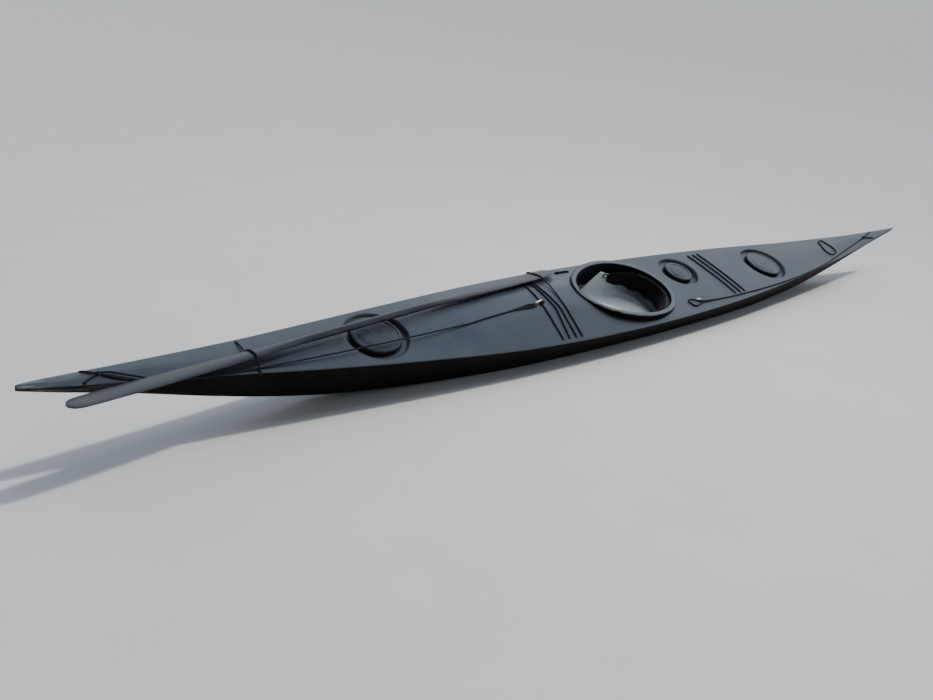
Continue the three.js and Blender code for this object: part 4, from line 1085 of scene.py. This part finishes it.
# Side lines: the same cord along the port side, before and behind the cockpit. Each starts doubled at a pale
# fitting and ends in a knot, from which two short lines fork to the edges of the deck. A slack loop lies
# across the after deck.
# Columns of the lines: x, y, height above the deck
FORE_START = [(658, 29, 0.2), (740, 30, 0.2), (820, 35, 0.2), (900, 40, 0.4), (970, 46, 0.4)]
FORE_FINISH = [(2150, 79, 0), (2280, 66, 0), (2400, 43, 0), (2455, 22, 0.5), (2487, 3, 2)]
FORE_DOUBLE = [(650, 21, 0.2), (690, 18, 0.2), (735, 24, 0.2), (790, 31, 0.2), (830, 36, 0.2)]
FORE_END = [(650, 35, 0.2), (690, 38, 0.2), (735, 35, 0.2), (780, 33, 0.2)]
FORE_SLACK = [(2340, 57, 6), (2385, 38, 6), (2430, 17, 5), (2462, 2, 4), (2490, -2, 4)]
AFT_SIDE = [(-422, 172, 2), (-449, 184, 1), (-500, 187, 0.4), (-580, 189, 0.2), (-748, 192, 0),
            (-1222, 178, 0), (-1715, 127, 0), (-2043, 63, 0), (-2316, 11, 1)]
AFT_DOUBLE = [(-406, 162, 2), (-432, 172, 1), (-470, 180, 0.5), (-520, 184, 0.2), (-580, 188, 0)]
STERN_LOOP = [(-1908, -66, 0), (-1950, -68, 0), (-1954, -28, 0), (-1956, 19, 0), (-1950, 48, 0),
              (-1914, 68, 0), (-1872, 62, 0), (-1862, 22, 0), (-1886, -30, 0)]
# Columns: x, y. The fore line leaves the ridge at the first and hangs taut to the deck's edge at the last
FORE_SPAN = [(1035, 52), (1338, 66), (1605, 74), (1800, 77), (2025, 77)]
# Columns: name, the knot's x and y, the far end, the near end
FORKS = [("bow_fork_cord", (2497, 0), (2538, -27), (2541, 27)),
         ("stern_fork_cord", (-2327, 8), (-2474, -27), (-2424, 33))]


def knot(spot, ways, thick, round_by, half_pitch):
    """A cord wound round the line in three turns, x = p s, y = r cos a, z = r sin a, about its way."""
    x, y = spot
    angle = np.linspace(0, 6 * np.pi, 72)
    run = (angle / angle[-1] - 0.5) * 2 * half_pitch * 3 * 1.1
    way = np.array(ways, float) / np.linalg.norm(ways)
    px = x + way[0] * run - way[1] * round_by * np.cos(angle)
    py = y + way[1] * run + way[0] * round_by * np.cos(angle)
    pz = deck_up(x, y) + round_by + half_pitch + 0.3 + round_by * np.sin(angle)
    path = np.stack([px, py, pz], -1)
    step = unit(np.gradient(path, axis=0))
    aside = unit(np.cross(step, path - path.mean(0)))
    return skin(capped(rings_round(path, thick, 8, aside, np.cross(step, aside))), grain=(0.0008, 0.001))


(start_x, start_y), (end_x, end_y) = FORE_SPAN[0], FORE_SPAN[-1]
span_x = np.linspace(start_x, end_x, 14)
span_y = along(FORE_SPAN, span_x)[:, 0]
span_z = np.interp(span_x, [start_x, end_x], [deck_up(start_x, start_y) + CORD, deck_up(end_x, end_y) + CORD])
fore_side = np.concatenate([FORE_START, np.column_stack([span_x, span_y, level_lift(span_x, span_y, span_z)]),
                            FORE_FINISH])
fore_cords = [tube(route(way)) for way in (fore_side, FORE_DOUBLE, FORE_END, FORE_SLACK)]
line_piece("fore_side_cord", fore_cords + [knot((612, 28), (1, 0.3), 2.4, 6.0, 2.4)])
line_piece("aft_side_cord", [tube(route(way)) for way in (AFT_SIDE, AFT_DOUBLE)])
for name, middle, *ends in FORKS:
    grids = []
    for end in ends:
        halfway = np.add(middle, end) / 2
        grids.append(tube(route([(*middle, 3), (*halfway, 0.8)] + down(end, (halfway - end) * 0.2)[::-1])))
        eyes.append(eye(end))
    line_piece(name, grids + [knot(middle, (1, 0.2), 1.9, 4.6, 1.7)])
line_piece("stern_loop_cord", [tube(route(STERN_LOOP, loop=True), True)])

# Eyes: low rubber rings round the holes that the lines go through, which keep the cord from chafing on the
# gelcoat.
make_piece("line_eyes", eyes, [rim_black], sharp=50)

# Fittings: pale plastic beads on the side lines, round at the ends, with a waist near each end where they are
# bored for the cord, and the eye that the cord makes at the after one.
# Columns: node, x, y, lift, length, width, height, turn in degrees
BEADS = [("fore_line_fitting", 628, 18, 7.2, 46, 9, 8, 12),
         ("aft_line_fitting", -424, 162, 3.5, 30, 11, 8, -9)]
# Columns: x, y, height above the deck
CORD_EYE = [(-430, 170, 2), (-402, 159, 1.5), (-380, 150, 1), (-358, 150, 0.6), (-349, 161, 0.4),
            (-352, 178, 0.3), (-360, 194, 0.3), (-374, 200, 0.3), (-398, 196, 0.4), (-425, 190, 0.8),
            (-449, 184, 1.5)]
bead_white = Finish("pale bead plastic", Specular_IOR_Level=0.5, Subsurface_Weight=0.1)
bead_stain = bead_white.patches(0.4, 0.75, 160, 5, 0.7)
bead_white.dust(bead_stain, 0.6, (0.60, 0.57, 0.50), (0.30, 0.27, 0.22), 0.32, 0.25)
bead_white.paint(Normal=bead_white.bump(bead_stain, 0.0002, 0.5))
for node, x, y, lift, length, wide, tall, degrees in BEADS:
    share = np.linspace(0, 1, 33)
    from_middle = np.abs(2 * share - 1)
    radius = np.sqrt(np.clip(1 - from_middle ** (2 * length / wide), 0, 1))
    radius *= 1 - 0.16 * np.exp(-((from_middle - 0.62) / 0.10) ** 2)
    turn = full_turn(24)
    run = (share[:, None] - 0.5) * length + 0 * turn
    across, rise = radius[:, None] * wide / 2 * np.cos(turn), radius[:, None] * tall / 2 * np.sin(turn)
    way = np.radians(degrees)
    px, py = x + run * np.cos(way) - across * np.sin(way), y + run * np.sin(way) + across * np.cos(way)
    pz = deck_up(x, y) + lift + tall / 2 + rise
    bead = make_piece(f"{node}_bead", [skin(np.stack([px, py, pz], -1))], [bead_white], sharp=60)
    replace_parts(bead, node)
ring = make_piece("cord_eye", [tube(route(CORD_EYE, 3))], [cord_black], sharp=60)
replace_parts(ring, "aft_line_ring")
